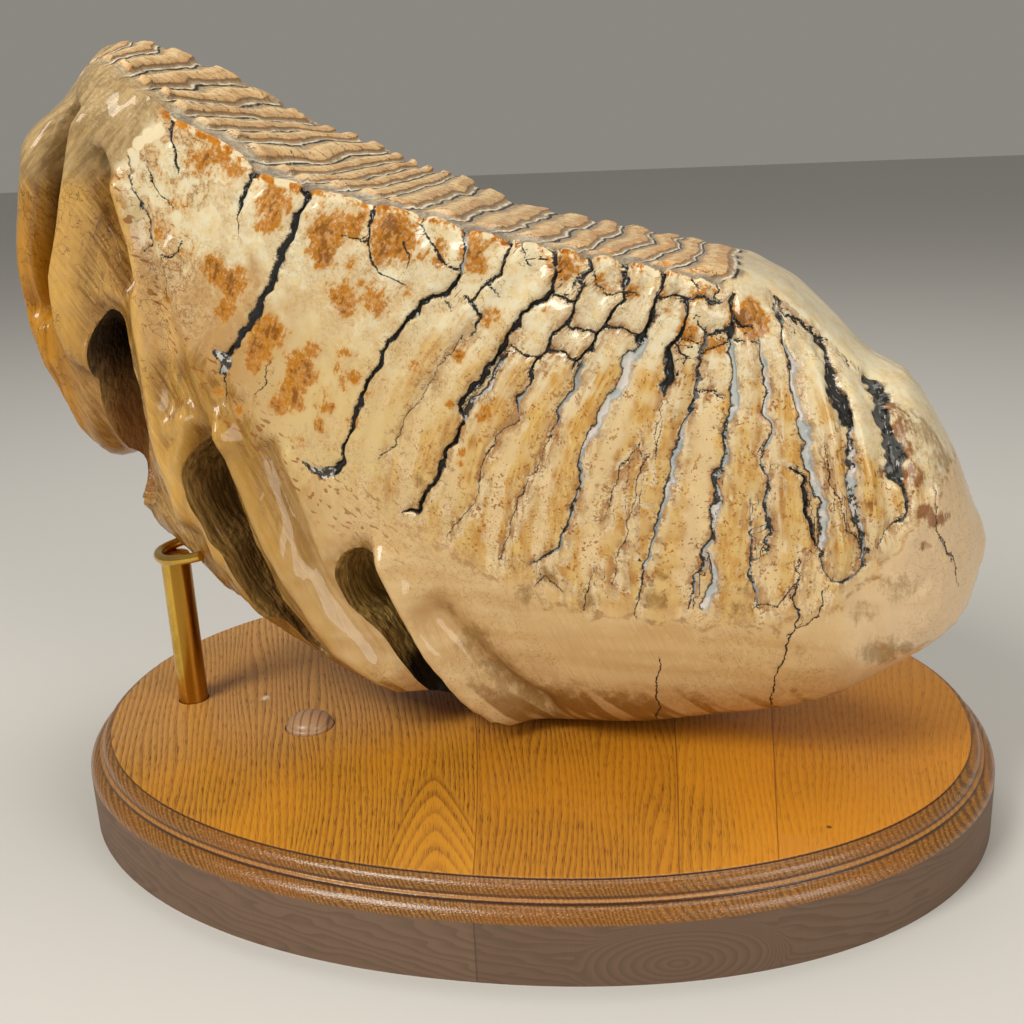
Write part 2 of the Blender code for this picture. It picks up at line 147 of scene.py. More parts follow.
# Folds of the roots: height outward, width towards the left, width towards the right, then along
# and up of each point down the line.
FOLDS = [
    (3, 6, 7, -146, 216, -150, 200, -155, 182, -154, 166, -147, 152),
    (7, 4.5, 9, -121, 222, -125.5, 208, -130, 194, -136, 178, -136.5, 164, -133, 155),
    (-13, 5.5, 3.2, -128, 226, -133, 208, -138, 193, -144, 179, -147, 168),
    (-5.5, 3, 2.2, -116, 214, -114.5, 202, -111.5, 188, -110, 176),
    (5, 3.6, 4.2, -110, 204, -107.5, 186, -108.5, 160, -107, 128, -101, 102),
    (-1.6, 2.4, 2.4, -103.5, 196, -102.5, 170, -103, 146, -98.5, 130),
    (7, 4.5, 4, -99, 131, -94.5, 134.5, -97.5, 122, -96.5, 108, -88, 90, -76, 72),
    (3.2, 3.4, 3.4, -97, 186, -92, 160, -88, 142, -80, 128),
    (5.5, 4, 6, -82, 130, -73, 102, -61, 79, -50, 60, -28, 44),
    (-2.8, 2.2, 2.6, -69, 126, -60, 98, -49, 74, -36, 56),
    (3, 2.6, 3.4, -61, 122, -53, 98, -44, 76),
    (6, 1.8, 6, -32, 90, -26, 78, -19, 64, -9, 48, 2, 36),
    (-6.5, 5, 6, -16, 74, -8, 62, 1, 50, 10, 40),
    (3, 8, 8, 112, 72, 122, 73, 130, 78),
    (-2.5, 4, 4, 112, 98, 109, 86, 113, 72),
]
FAR_FOLD = 0.6
# Mouths of the root hollows as points (along, up), clockwise from the left.
HOLLOWS = [
    [(-129, 150), (-127.5, 158), (-124.5, 165), (-120.5, 168), (-117, 165), (-116, 152),
     (-114, 138), (-114, 122), (-117, 102), (-128, 102), (-132, 122), (-131, 138)],
    [(-97, 114), (-94, 123), (-89, 128), (-86, 126), (-83, 112), (-79, 98), (-72, 78), (-63, 62),
     (-58, 50), (-66, 54), (-72, 64), (-80, 76), (-89, 93), (-95, 103)],
    [(-48, 82), (-47, 90), (-41, 94), (-36, 93), (-33, 86), (-29, 76), (-23, 63), (-14, 48),
     (-8, 36), (-16, 34), (-25, 46), (-31, 57), (-40, 69), (-46, 75)],
]
HOLLOW_SIDES = 72
HOLLOW_MOUTH = -62.0
# Size of a hollow's section, and where it lies across the tooth.
HOLLOW_STEPS = [
    (1.06, HOLLOW_MOUTH),
    (1.04, -44.0),
    (0.99, -38.0),
    (0.94, -32.0),
    (0.86, -26.0),
    (0.74, -21.0),
    (0.56, -17.0),
    (0.3, -14.5),
]
# Picks the roughness of the hollows' walls, so that every run gives the same one.
HOLLOW_SEED = 1795472106
LIP_SIDES = 48
LIP_WIDTH = 2.4
LIP_DIP = 2.4

# Cracks of the crown's sides: mineral fill (0 open, 1 full), then along, up and half width of
# each point down the line.
CRACKS = [
    (0, -48.5, 204, 0.9, -51.8, 194, 1.2, -56.9, 184, 1.5, -62.8, 174, 1.5, -69.5, 166, 1.4, -74.6,
     158.6, 1.1, -79.5, 154.3, 1.2, -81, 150, 0.3, -80, 141, 0.15),
    (0.5, -83.5, 155.5, 0.9, -80, 152.5, 1.8, -81.5, 149.5, 0.5),
    (0, -65.5, 209, 0.6, -69.2, 200.7, 0.8, -72.2, 195, 0.4, -71.6, 190, 0.15),
    (0, -92, 222, 0.5, -90.8, 213.5, 0.4, -90.7, 207, 0.15),
    (0.2, -107, 213, 0.2, -104.5, 203, 0.25, -104, 198.8, 0.35, -102.5, 193, 0.3, -102.5, 184,
     0.15),
    (0, -100.5, 211, 0.2, -97.7, 203, 0.2, -94, 198, 0.12),
    (0, -29, 200, 0.5, -27.7, 193, 0.5, -30.5, 187.4, 0.4, -28.8, 182, 0.4, -26.7, 178.5, 0.3,
     -18.6, 175.4, 0.15),
    (0, -30.4, 186.4, 0.3, -37, 190, 0.2),
    (0, -18.6, 187.2, 0.3, -17.3, 183, 0.35, -19, 180, 0.15),
    (0.7, -1, 191, 1.1, -0.4, 184.6, 0.9, -2.3, 179, 0.8),
    (0, -2.3, 179, 0.8, -7, 173.3, 0.8, -13.7, 169.2, 0.8, -20, 164.4, 0.8, -25.5, 158, 0.7, -31.2,
     148.6, 0.8, -37.6, 135, 0.7, -41, 128.8, 0.6, -42.2, 123, 0.8, -45.7, 119.2, 1.2),
    (0.6, -45.7, 119.5, 1, -50.4, 118, 1.5, -55.6, 121.4, 0.5),
    (0, -13.8, 194, 0.25, -11.3, 189, 0.3, -7.7, 183, 0.3, -3.4, 180, 0.3),
    (0, -7.7, 172.7, 0.3, -4.9, 169, 0.15),
    (0, 11.5, 189, 0.6, 11.4, 183.6, 0.6, 9.9, 178.3, 0.7, 5, 175.9, 0.5, 3.7, 173.6, 0.4, 1,
     170.6, 0.4, 3.8, 167, 0.5, 0.3, 160.4, 0.15),
    (0, -2.1, 172, 0.15, 1, 170.6, 0.4),
    (0, 5, 175.9, 0.4, 10, 172.4, 0.15),
    (0, 14.8, 188, 0.4, 18.2, 180.3, 0.15),
    (0, 23.5, 186, 0.8, 25.1, 179.4, 0.9, 24.4, 173.3, 0.8, 20.9, 170.7, 0.8, 16.7, 168.4, 0.8,
     12.8, 163.4, 0.8, 6.4, 153.8, 0.8, 1.4, 147.7, 0.8, -3.7, 141.5, 0.8, -3, 137.3, 0.7, -5.5,
     131, 0.8, -13.3, 117.7, 0.8, -20.1, 108.6, 1.1, -25.6, 108.2, 0.3),
    (0.6, 10, 156, 0.5, 5, 147.5, 1.5, 1, 143, 1.1, -2.5, 139, 1.4, -3.5, 136, 0.5),
    (0, 33.5, 185, 0.7, 35, 179.5, 0.6, 31.4, 177.4, 0.5, 32.4, 174, 0.5, 30.6, 170.3, 0.5, 28.8,
     164.8, 0.5, 24.3, 161.6, 0.5, 22.4, 157, 0.5, 20, 155.7, 0.5, 17.9, 151, 0.5, 13.7, 144, 0.3),
    (1, 16.5, 149, 0.3, 14.5, 144, 0.9, 13.7, 140, 0.5),
    (0, 13.7, 139, 0.15, 7.6, 132.4, 0.15, 3.3, 127.6, 0.18, -0.6, 112.6, 0.15, -6.2, 106.3, 0.2,
     -11, 100, 0.12),
    (0, 31.4, 177.4, 0.4, 29, 174.3, 0.2),
    (0, 35.9, 178, 0.3, 38.5, 174, 0.2),
    (0, 24.4, 173, 0.5, 30.3, 170.8, 0.4),
    (0, 11.9, 159, 0.3, 20, 155.7, 0.35),
    (0, 28.8, 164.8, 0.35, 36.5, 162.3, 0.4),
    (0, 22.4, 157.4, 0.4, 31.4, 155, 0.35),
    (0, 44, 183, 0.6, 45, 177.6, 0.6, 43.4, 175, 0.5, 44, 172, 0.5, 40.7, 168, 0.6, 39.8, 164, 0.6,
     37, 162.2, 0.6, 35.3, 157.7, 0.7, 31, 152.8, 0.6),
    (1, 34, 154, 0.4, 32, 149.5, 1, 29, 145, 0.9, 25.1, 140.3, 0.8, 24.5, 137, 0.3),
    (0, 24.5, 137, 0.15, 24, 133, 0.15, 18, 123, 0.15, 11.7, 112, 0.18, 8.7, 103, 0.15, 5.6, 94,
     0.12),
    (0, 38.4, 173.2, 0.2, 43.5, 174.3, 0.3, 48.3, 172, 0.2),
    (0, 39.8, 164, 0.4, 48.6, 162.3, 0.4),
    (0, 53.2, 182, 0.8, 54.9, 174.2, 0.7, 53.2, 168.3, 0.8, 50.9, 164, 1, 48.8, 160.6, 1.3),
    (1, 49.5, 161, 1, 46, 154.4, 2.1, 43.7, 149, 2.3, 39.8, 142.6, 2, 36.6, 137, 1.6, 33.4, 131.7,
     1.3, 32.4, 126.7, 0.9),
    (0.35, 32.4, 127, 0.9, 29.7, 114.8, 0.9, 24.1, 99.2, 0.9, 15.5, 93.4, 0.5),
    (0, 60, 182, 0.3, 62.9, 176.5, 0.3, 63.8, 173.3, 0.15),
    (0, 68, 180, 0.4, 68.5, 175.7, 0.3, 68.7, 171, 0.25),
    (0, 54.7, 171.3, 0.4, 60.9, 170.9, 0.4, 65.7, 171.6, 0.4, 70, 170.5, 0.4),
    (0, 60.9, 170.9, 0.5, 60.9, 167, 0.5, 59.8, 163, 0.5, 58, 158.8, 0.9, 56.7, 154.6, 1.5, 54.9,
     149.4, 1.4, 54.2, 146, 0.3),
    (0, 54, 144, 0.15, 52.9, 133, 0.15, 48.4, 126, 0.15, 46.8, 115, 0.18, 43, 102, 0.15, 39.9, 89,
     0.15),
    (0.2, 66.6, 163.3, 0.4, 66, 157.8, 0.4, 64.3, 153, 0.5, 63.8, 146.7, 0.5, 62, 141.8, 0.6),
    (0.8, 62.3, 142, 0.5, 60.9, 136, 1, 58.2, 128.8, 1.4, 57, 122.7, 1.3, 54, 112.8, 1, 51.7,
     102.4, 0.8, 49.7, 94.8, 1.2),
    (0.1, 72.5, 172, 0.5, 73.3, 165.2, 0.6, 73.5, 160.2, 1),
    (0.9, 73.5, 161, 0.8, 74, 152.5, 1.5, 74, 144.5, 1.8, 73.3, 138.8, 1.4),
    (0.5, 73.3, 139, 1.1, 71.5, 131.7, 1.2, 69.9, 122, 1.3, 68.6, 109.3, 1.3, 65.5, 96.3, 0.8,
     63.2, 93.2, 0.6, 62.8, 85.4, 0.4, 61, 82.7, 0.2),
    (0.9, 67.8, 100, 0.8, 69, 94, 1.9, 67, 84, 2),
    (0, 64.9, 165.5, 0.3, 67, 163, 0.4, 72.4, 163, 0.5, 73.3, 165.2, 0.5, 78.3, 163.5, 0.4),
    (0, 59, 161.2, 0.25, 64.7, 160.3, 0.2),
    (0, 59, 159, 0.35, 62, 157, 0.35, 66, 156.4, 0.2),
    (0, 66.8, 158.5, 0.3, 71.3, 159.3, 0.3, 79.7, 160, 0.25),
    (0, 64.3, 147, 0.2, 71.2, 146, 0.2),
    (0.9, 80, 161, 0.4, 81.8, 153, 1.1, 82.2, 141.3, 1.1, 83.7, 134, 1, 83, 131, 0.3),
    (0.3, 83, 131, 0.2, 82.3, 128.7, 0.2, 83.5, 119.7, 0.6, 83.6, 101, 0.5),
    (0.2, 81, 174, 0.3, 83.8, 166.8, 0.4, 86.8, 159.6, 0.6),
    (0.85, 86.8, 160, 0.6, 89.5, 151.5, 1.4, 91, 144.8, 1.7, 92.5, 138, 1.6, 93.5, 131, 1.7, 95,
     125.5, 1.6, 97, 119.9, 1.3, 98, 111, 1.5, 98, 103, 1.2),
    (0.1, 93, 162, 0.4, 97.5, 153, 0.9, 99.5, 147.5, 1.6, 103, 140.6, 2.1, 103.6, 137, 1),
    (0.55, 103.6, 138, 0.7, 104.2, 133, 1.2, 105.6, 125, 1.7, 107.1, 115.3, 1.6, 108.6, 107, 1.1,
     109, 101, 0.8),
    (0.15, 107.6, 148, 0.8, 111.6, 143.3, 1.6, 113.6, 136.5, 2.6, 115, 129.2, 3, 117, 123.5, 2.2,
     119.5, 120, 0.6, 119.4, 112, 0.4, 115, 107.4, 0.25, 112.7, 103.6, 0.2),
    (0, 82, 172, 0.3, 86.8, 165, 0.4, 93.6, 160.3, 0.5, 98.2, 157.2, 0.4),
    (0, 93.6, 160.3, 0.4, 97.4, 158.7, 0.4, 101.2, 156, 0.4, 103, 152, 0.3),
    (0, 92.5, 96, 0.2, 91.8, 90, 0.3, 92.7, 85, 0.3, 91.2, 77.4, 0.3, 88.4, 68.3, 0.3, 83.7, 45.8,
     0.25),
    (0, 53.3, 65.4, 0.25, 48.8, 36.8, 0.3),
    (0.2, 97.7, 102.8, 0.3, 100.5, 93.8, 0.3, 104, 92.4, 0.4, 108.7, 97.4, 0.4, 110.3, 103.2, 0.5),
    (0.6, 79, 117, 0.2, 79.7, 95, 0.6, 82, 84.2, 0.3),
    (0, -2.6, 160.8, 0.15, -6.9, 156.6, 0.15, -12.4, 148.3, 0.12, -19.5, 138.5, 0.18, -22.3, 133.7,
     0.18, -27.9, 126, 0.2, -31, 122.8, 0.12),
    (0, -99, 187.4, 0.15, -97.8, 183.5, 0.25, -92.8, 186, 0.2, -91, 189.7, 0.15),
    (0, -98, 182.6, 0.15, -98.5, 171.2, 0.12),
    (0, -65, 152.5, 0.15, -66.6, 146.6, 0.2, -71, 142.4, 0.12),
    (0, 83.4, 135.3, 0.15, 81.2, 129.3, 0.2, 83.1, 124, 0.15, 83.5, 106, 0.2, 80.5, 98, 0.15, 80.7,
     84, 0.12),
    (0, 88.5, 126.3, 0.3, 93.2, 123.2, 0.5, 94.8, 114.1, 0.7, 96.3, 103.6, 0.4),
    (0, 91.6, 101.6, 0.15, 91.8, 93.2, 0.2, 86.9, 85.7, 0.2, 82, 85.4, 0.12),
    (0, 97.8, 131.7, 0.15, 100.6, 119.4, 0.2, 105.7, 109, 0.2, 109.5, 101, 0.25),
    (0, 126.3, 118, 0.12, 128, 106.7, 0.2, 133.7, 93.2, 0.2, 135.5, 86.9, 0.12),
    (0, 98.4, 90.1, 0.2, 98.1, 83.6, 0.25, 89.5, 77, 0.2),
    (0, 33.9, 93.4, 0.15, 32.2, 84.8, 0.25, 30.8, 79.9, 0.15),
    (0, 51.4, 99.1, 0.3, 48.1, 88.4, 0.25, 45.8, 81.3, 0.2, 47.7, 77.8, 0.12),
    (0, 24.2, 86.6, 0.15, 19.6, 90.7, 0.2, 14.9, 85.8, 0.15),
    (0, 48.7, 133, 0.15, 42.8, 124, 0.18, 36.6, 108.8, 0.12),
]
# The line where the plates end on the sides (along, up).
PLATE_ENDS = [
    (-126, 224), (-112, 214), (-107.5, 202), (-105.5, 186), (-102, 171), (-93, 158), (-84, 149),
    (-76, 138), (-69, 131), (-58, 119), (-43, 111), (-26, 105), (-11, 98), (0, 90), (15, 86),
    (30, 82), (48, 81), (65, 80), (82, 81), (93, 84), (104, 88), (111, 96), (117, 104), (124, 112),
    (132, 124),
]
# Bare cream enamel beside the cement, then the stains: along, up, radius, strength.
PALE = [
    (-102, 217, 2, 1), (-98.5, 219, 2.3, 1), (-95, 220.2, 2, 1), (-104.8, 214.6, 1.3, 1),
]
RUST = [
    (-82, 211.5, 5, 0.8), (-75.5, 214, 4.5, 0.9), (-72, 209, 4, 0.7), (-58.8, 198.5, 6, 0.9),
    (-61.5, 194, 4, 0.8), (-42, 190, 6, 1), (-43.2, 185.5, 4.5, 1), (-35, 193, 5, 0.8),
    (-22, 192, 6, 1), (-19.2, 187.5, 5, 0.9), (-25, 185.2, 4, 0.9), (1.8, 184.7, 3.6, 1),
    (2.7, 181.5, 3.2, 1), (27.3, 181, 4, 1), (7, 189, 3, 0.8), (38, 177, 2, 0.8),
    (39.5, 175, 1.6, 0.7), (47.2, 173.6, 2, 1), (55.2, 173, 1.5, 0.8), (56, 168.3, 1.5, 0.7),
    (62.2, 163.3, 3, 0.9), (64.2, 172.8, 2.5, 0.7), (68.5, 178, 3, 0.7), (68.5, 159, 3, 0.8),
    (76, 166.6, 4, 1), (78.7, 164, 3, 1), (47.8, 178.6, 2, 0.6), (-3.4, 155.4, 2, 1),
    (-17, 152.3, 1.9, 0.9), (3.7, 138.8, 2.2, 1), (-6.8, 141.4, 1.5, 0.9), (-3.9, 127.4, 1.5, 0.9),
    (-5, 124.3, 1.6, 0.9), (-10.2, 134, 1.2, 0.8), (1.9, 131.4, 1.1, 0.8), (23, 169, 1.4, 0.8),
    (7.8, 167.6, 2.4, 0.7), (5.4, 165.4, 2.4, 0.8), (-7.9, 182, 2.1, 0.8),
    (-12.2, 183.6, 2.2, 0.7), (-7, 186, 2, 0.8), (-80.7, 180, 4, 1), (-75.2, 175.5, 4.5, 1),
    (-78.4, 168, 3.5, 0.9), (-72, 178.5, 3, 0.8), (-64, 162.3, 5, 1), (-67.6, 156.2, 4, 1),
    (-70, 151.6, 2.6, 0.9), (-54.4, 150.6, 5, 1), (-58.6, 142.8, 4.5, 1), (-63, 139.6, 3, 0.9),
    (-49.7, 156.6, 2.6, 0.8), (-37, 149.2, 2.6, 0.7), (-36, 155.3, 2, 0.6), (-49, 134, 2.4, 0.8),
    (-45.4, 140.2, 2.2, 0.8), (-40.3, 146.2, 2, 0.7), (-98.7, 191.3, 3, 0.7),
    (-98.9, 171, 1.6, 0.7), (-114.5, 197.3, 1.6, 0.8), (-31.7, 143.8, 1.6, 0.5),
    (-29.3, 171.3, 3.2, 0.8), (-39.2, 172.7, 4.4, 0.75), (-38, 168.4, 4, 0.7),
    (-27, 168.5, 2.6, 0.7), (-83, 143, 1.8, 0.8), (-76.5, 137.6, 1.8, 0.8), (-47, 142, 5, 0.42),
    (-39.7, 150.2, 4, 0.42), (-38.3, 136.5, 4, 0.42), (-46.8, 129.2, 4, 0.4),
    (-31, 176.3, 5, 0.42), (-35, 182, 4, 0.42), (-25.2, 171.3, 4, 0.42), (-38.9, 156.8, 4, 0.42),
    (-19.4, 174, 4, 0.4), (-56.8, 129, 3.5, 0.4), (-90.8, 199, 5, 0.4), (-89, 186, 5, 0.42),
    (-96.6, 207.7, 4, 0.4),
]
DARK_RED = [
    (115, 141, 3.6, 0.9), (117, 134, 3.4, 1), (118.5, 129, 3, 1), (120, 124, 2.6, 1),
    (122.3, 121, 2, 0.9), (124.5, 112.7, 2.6, 1), (127.3, 109.4, 2.6, 1), (130, 110, 2, 0.8),
    (125, 103, 2, 0.8), (112.3, 124.4, 2.2, 0.8), (110.3, 116, 2.4, 0.9), (101, 137.3, 1.8, 0.7),
    (100.8, 130, 1.8, 0.7), (90, 166, 2.5, 0.8), (99, 155, 2.2, 0.7), (108, 152, 2.6, 0.8),
    (112, 148, 2.6, 0.8), (104, 127, 1.6, 0.7), (98, 121, 1.6, 0.7), (86, 135, 1.4, 0.7),
    (77, 138, 1.6, 0.7), (66, 128, 1.4, 0.7),
]
OLIVE = [
    (122, 142, 6, 0.8), (127, 134, 7, 0.9), (130, 125, 6, 0.8), (116, 148, 4, 0.7),
    (118, 92, 5, 0.6), (110, 84, 4, 0.6), (-4, 66, 6, 0.9), (2, 56, 6, 0.9), (8, 46, 5, 0.9),
    (14, 40, 4, 0.8), (-12, 76, 4, 0.7), (-38, 96, 4, 0.8), (-18, 118, 2.6, 0.8),
    (19.6, 90.7, 3, 0.9), (13.2, 84, 3, 0.8), (33, 84, 3.4, 0.9), (51, 85.3, 4, 0.9),
    (55, 93, 2.6, 0.8), (75, 83.8, 3, 0.8), (78, 90, 2, 0.8), (93, 71.7, 2, 0.7),
    (91.6, 55.8, 1.6, 0.8), (84.4, 53, 1.6, 0.8), (115, 70.6, 5, 0.9), (121.6, 71, 3, 0.8),
    (59, 38, 2.4, 0.9), (43, 35, 2.8, 0.9), (30, 33, 3.2, 1), (17, 35, 3.2, 1), (70, 41, 2.4, 0.9),
    (5, 50, 6, 0.8), (-2, 58, 5, 0.7), (10, 41, 5, 0.9),
]
# A crack further away than this is not felt.
OUT_OF_REACH = 9.0
# How deep the surface falls between two bulging plates.
VALLEY = 0.75
# The far side starts this far across the tooth, and its cracks lie a little further along.
FAR_SIDE = 8.0
FAR_SHIFT = 3.0
# For each round of halving: how far beside a crack it reaches, and how far across the tooth.
HALVINGS = [(1.3, 60.0), (0.55, 8.0)]

# Oak board.
BOARD_LENGTH = 306.0
BOARD_DEPTH = 228.0
BOARD_THICKNESS = 28.0
BOARD_SQUARENESS = 2.12
BOARD_SIDES = 288
# Glued joints of the planks, and the cathedral figure: its place, top, lean and spread.
JOINTS = [-19.8, 50.3, 83.1]
ARCH_PLACE = -18.4
ARCH_TOP = -59.5
ARCH_LEAN = 0.27
ARCH_SPREAD = 0.81
WALL_HEIGHT = 18.0
# Moulded edge from the wall up to the flat top: distance in from the wall, height.
MOULDING = [
    (0.05, 19), (0.35, 19.9), (1, 20.9), (1.9, 21.7), (2.9, 22.2), (3.3, 22.25), (3.45, 22.5),
    (3.5, 23.1), (3.75, 23.3), (4.3, 23.4), (4.55, 23.6), (4.6, 24.3), (4.8, 25.3), (5.25, 26.2),
    (5.9, 26.9), (6.6, 27.2), (7.3, 27.3), (7.5, 27.4), (7.55, 27.8), (7.8, 27.95), (8.2, 28),
]

# Brass support and wooden plug.
GAP = 0.3
HOLE_SIDES = 72
BAR_SIDES = 96
POST_RADIUS = 5.0
POST_X = -118.5
POST_Y = -13.5
POST_TOP = 83.0
POST_SOCKET = 12.0
ROD_RADIUS = 1.7
CRADLE_PATH = [
    (-103, -17, 90), (-112, -17.5, 87), (-120, -21, 84.5), (-122.5, -28, 84), (-119, -36, 84),
    (-110, -40.5, 84.5), (-98, -41, 88),
]
PLUG_RADIUS = 8.0
PLUG_X = -69.5
PLUG_Y = -29.0
PLUG_SOCKET = 5.0
PLUG_RISE = 1.4
PLUG_DOME = 3.4
# Sizes of the rings in the plug's top.
PLUG_RINGS = [0.86, 0.84, 0.78, 0.66, 0.4]

# Stage, in metres. Each light has its place, size, share of the key power and tint.
FLOOR_REACH = 6.0
SKY_COLOUR = (1.0, 0.95, 0.86, 1.0)
SKY_STRENGTH = 0.26
LIT_PLACE = Vector((0.0, 0.0, 0.13))
LIGHTS = {
    "key_light": ((-0.55, -0.75, 1.0), (0.5, 0.5), 1.35, (1.0, 0.96, 0.88)),
    "fill_light": ((0.9, -0.7, 0.55), (0.6, 0.6), 0.6, (1.0, 0.95, 0.86)),
    "top_light": ((0.1, 0.3, 1.25), (0.8, 0.5), 0.5, (1.0, 0.97, 0.91)),
}
SENSOR_WIDTH = 36.0
CAMERA_PLACE = (0.07305, -0.37545, 0.21604)
CAMERA_RIGHT = Vector((0.98190858, 0.18461683, -0.04209712))
CAMERA_UP = Vector((-0.01619299, 0.30337117, 0.95273486))


# ---------------------------------------------------------------- settings


def colour(name, description, default):
    return FloatVectorProperty(
        name=name, description=description, default=default, subtype="COLOR", size=3, min=0.0,
        max=1.0
    )


def length(name, description, default):
    return FloatProperty(
        name=name, description=description, default=default, unit="LENGTH", precision=5
    )


class ToothSettings(bpy.types.PropertyGroup):
    ridge: length("Ridge height", "How far a plate stands above the cement round it", 0.0012)
    crack: length("Crack depth", "How deep an open crack is", 0.0016)
    cream: colour("Cream", "Enamel near the crown's edge", (0.74, 0.665, 0.47))
    root: colour("Root", "The roots' golden brown", (0.37, 0.205, 0.046))
    rust: colour("Rust", "Iron stains", (0.20, 0.068, 0.002))
    soot: colour("Open crack", "The dark of an open crack", (0.008, 0.007, 0.006))
    fill: colour("Mineral fill", "Blue-white mineral in the wide cracks", (0.46, 0.49, 0.48))


class BoardSettings(bpy.types.PropertyGroup):
    light: colour("Light oak", "Wood between the growth lines", (0.57, 0.25, 0.012))
    dark: colour("Dark oak", "Growth lines and pores", (0.25, 0.085, 0.006))
    edge: colour("Moulding", "Stained wood of the moulded edge", (0.27, 0.108, 0.012))
    wall: colour("Wall", "Bare greyish wood of the wall", (0.19, 0.115, 0.072))
    ring: length("Growth ring", "Width of one growth ring", 0.0021)


class SupportSettings(bpy.types.PropertyGroup):
    brass: colour("Brass", "Polished brass", (0.74, 0.46, 0.07))
    # The darker brass also serves as painted shade on the post's right side.
    tarnish_and_shade: colour("Tarnish", "Older, darker brass", (0.32, 0.135, 0.002))


class StageSettings(bpy.types.PropertyGroup):
    floor: colour("Floor", "The plain floor", (0.62, 0.61, 0.59))
    key: FloatProperty(name="Key light", description="Its power", unit="POWER", default=9.0)
    lens: FloatProperty(name="Lens", description="Focal length", unit="CAMERA", default=42.506)


# ---------------------------------------------------------------- materials


def paint(red, green, blue):
    """A colour given in screen values from 0 to 255."""
    return tuple((value / 255) ** 2.2 for value in (red, green, blue))


class Value:
    """A socket that Python's operators work on."""

    def __init__(self, finish, socket):
        self.finish = finish
        self.socket = socket

    def __add__(self, other):
        return self.finish.math("ADD", self, other)

    __radd__ = __add__

    def __sub__(self, other):
        return self.finish.math("SUBTRACT", self, other)

    def __rsub__(self, other):
        return self.finish.math("SUBTRACT", other, self)

    def __mul__(self, other):
        if isinstance(other, float) and other in (0.0, 1.0):
            return self if other else 0.0
        return self.finish.math("MULTIPLY", self, other)

    __rmul__ = __mul__

    def __truediv__(self, other):
        return self.finish.math("DIVIDE", self, other)

    def __pow__(self, other):
        return self.finish.math("POWER", self, other)


class Finish:
    """One material and the nodes in it."""

    def __init__(self, name, **uniform):
        self.material = bpy.data.materials.new(name)
        self.material.use_nodes = True
        self.tree = self.material.node_tree
        self.shader = self.tree.nodes["Principled BSDF"]
        for socket, value in uniform.items():
            self.shader.inputs[socket.replace("_", " ")].default_value = value

    def feed(self, socket, value):
        if isinstance(value, Value):
            self.tree.links.new(value.socket, socket)
        elif socket.type == "RGBA":
            socket.default_value = (*value[:3], 1.0)
        else:
            socket.default_value = value

    def node(self, kind, settings=None, sockets=None, out=0):
        made = self.tree.nodes.new("ShaderNode" + kind)
        for name, value in (settings or {}).items():
            setattr(made, name, value)
        for name, value in (sockets or {}).items():
            self.feed(made.inputs[name], value)
        return Value(self, made.outputs[out])

    def math(self, operation, *values):
        return self.node("Math", {"operation": operation}, dict(enumerate(values)))

    def most(self, a, b):
        return self.math("MAXIMUM", a, b)

    def fraction(self, value):
        return self.math("FRACT", value)

    def span(self, a, b):
        """The length of the line whose sides are a and b."""
        return self.math("SQRT", a ** 2.0 + b ** 2.0)

    def step(self, value, low, high, start=0.0, end=1.0):
        """Eased from start at low to end at high."""
        sockets = {
            "Value": value, "From Min": low, "From Max": high, "To Min": start, "To Max": end
        }
        return self.node("MapRange", {"interpolation_type": "SMOOTHSTEP"}, sockets)

    def fall(self, value, low, high):
        return self.step(value, low, high, 1.0, 0.0)

    def band(self, value, middle, width):
        """1 in the middle, falling to 0 a width away."""
        return self.fall(self.math("ABSOLUTE", value - middle), width * 0.4, width)

    def mix(self, factor, a, b):
        if isinstance(factor, float) and factor in (0.0, 1.0):
            return b if factor else a
        return self.node("Mix", {"data_type": "RGBA"}, {0: factor, 6: a, 7: b}, out=2)

    def coats(self, shade, *layers):
        """Lay coats over a shade. Each has its mask, then red, green and blue in screen values."""
        for mask, *screen in layers:
            shade = self.mix(mask, shade, paint(*screen))
        return shade

    def combine(self, x, y, z=0.0):
        return self.node("CombineXYZ", None, {0: x, 1: y, 2: z})

    def separate(self, value):
        outputs = self.node("SeparateXYZ", None, {0: value}).socket.node.outputs
        return [Value(self, outputs[axis]) for axis in range(3)]

    def attribute(self, name):
        return self.separate(self.node("Attribute", {"attribute_name": name}, out=1))

    def place(self):
        """Object coordinates in millimetres."""
        sockets = {0: self.node("TexCoord", out=3), "Scale": 1 / MM}
        return self.node("VectorMath", {"operation": "SCALE"}, sockets)

    def noise(self, vector, scale, detail, roughness=0.55):
        sockets = {"Vector": vector, "Scale": scale, "Detail": detail, "Roughness": roughness}
        return self.node("TexNoise", None, sockets)

    def bump(self, height, depth, strength):
        sockets = {"Height": height, "Distance": depth * MM, "Strength": strength}
        return self.node("Bump", None, sockets)

    def finish(self, **sockets):
        """Join the sockets to the shader, and take out the nodes that nothing reads."""
        for name, value in sockets.items():
            self.feed(self.shader.inputs[name.replace("_", " ")], value)
        nodes = self.tree.nodes
        while True:
            idle = [node for node in nodes
                    if node.outputs and not any(output.is_linked for output in node.outputs)]
            if not idle:
                return self.material
            for node in idle:
                nodes.remove(node)


# What is the same all over a zone of the tooth, so that its material leaves those layers out.
SIDES = {"on_top": 0.0, "on_rim": 0.0, "cement": 0.0, "bare": 0.0, "worn": 0.0}
ZONES = {
    "whole": {},
    "root": {"under": 1.0, "fibrous": 1.0, "cracked": 0.0, **SIDES},
    "crown": {"under": 0.0, "fibrous": 0.0, **SIDES},
    "top": {
        "under": 0.0, "fibrous": 0.0, "on_top": 1.0, "on_rim": 0.0, "bare": 0.0, "cracked": 0.0
    },
}


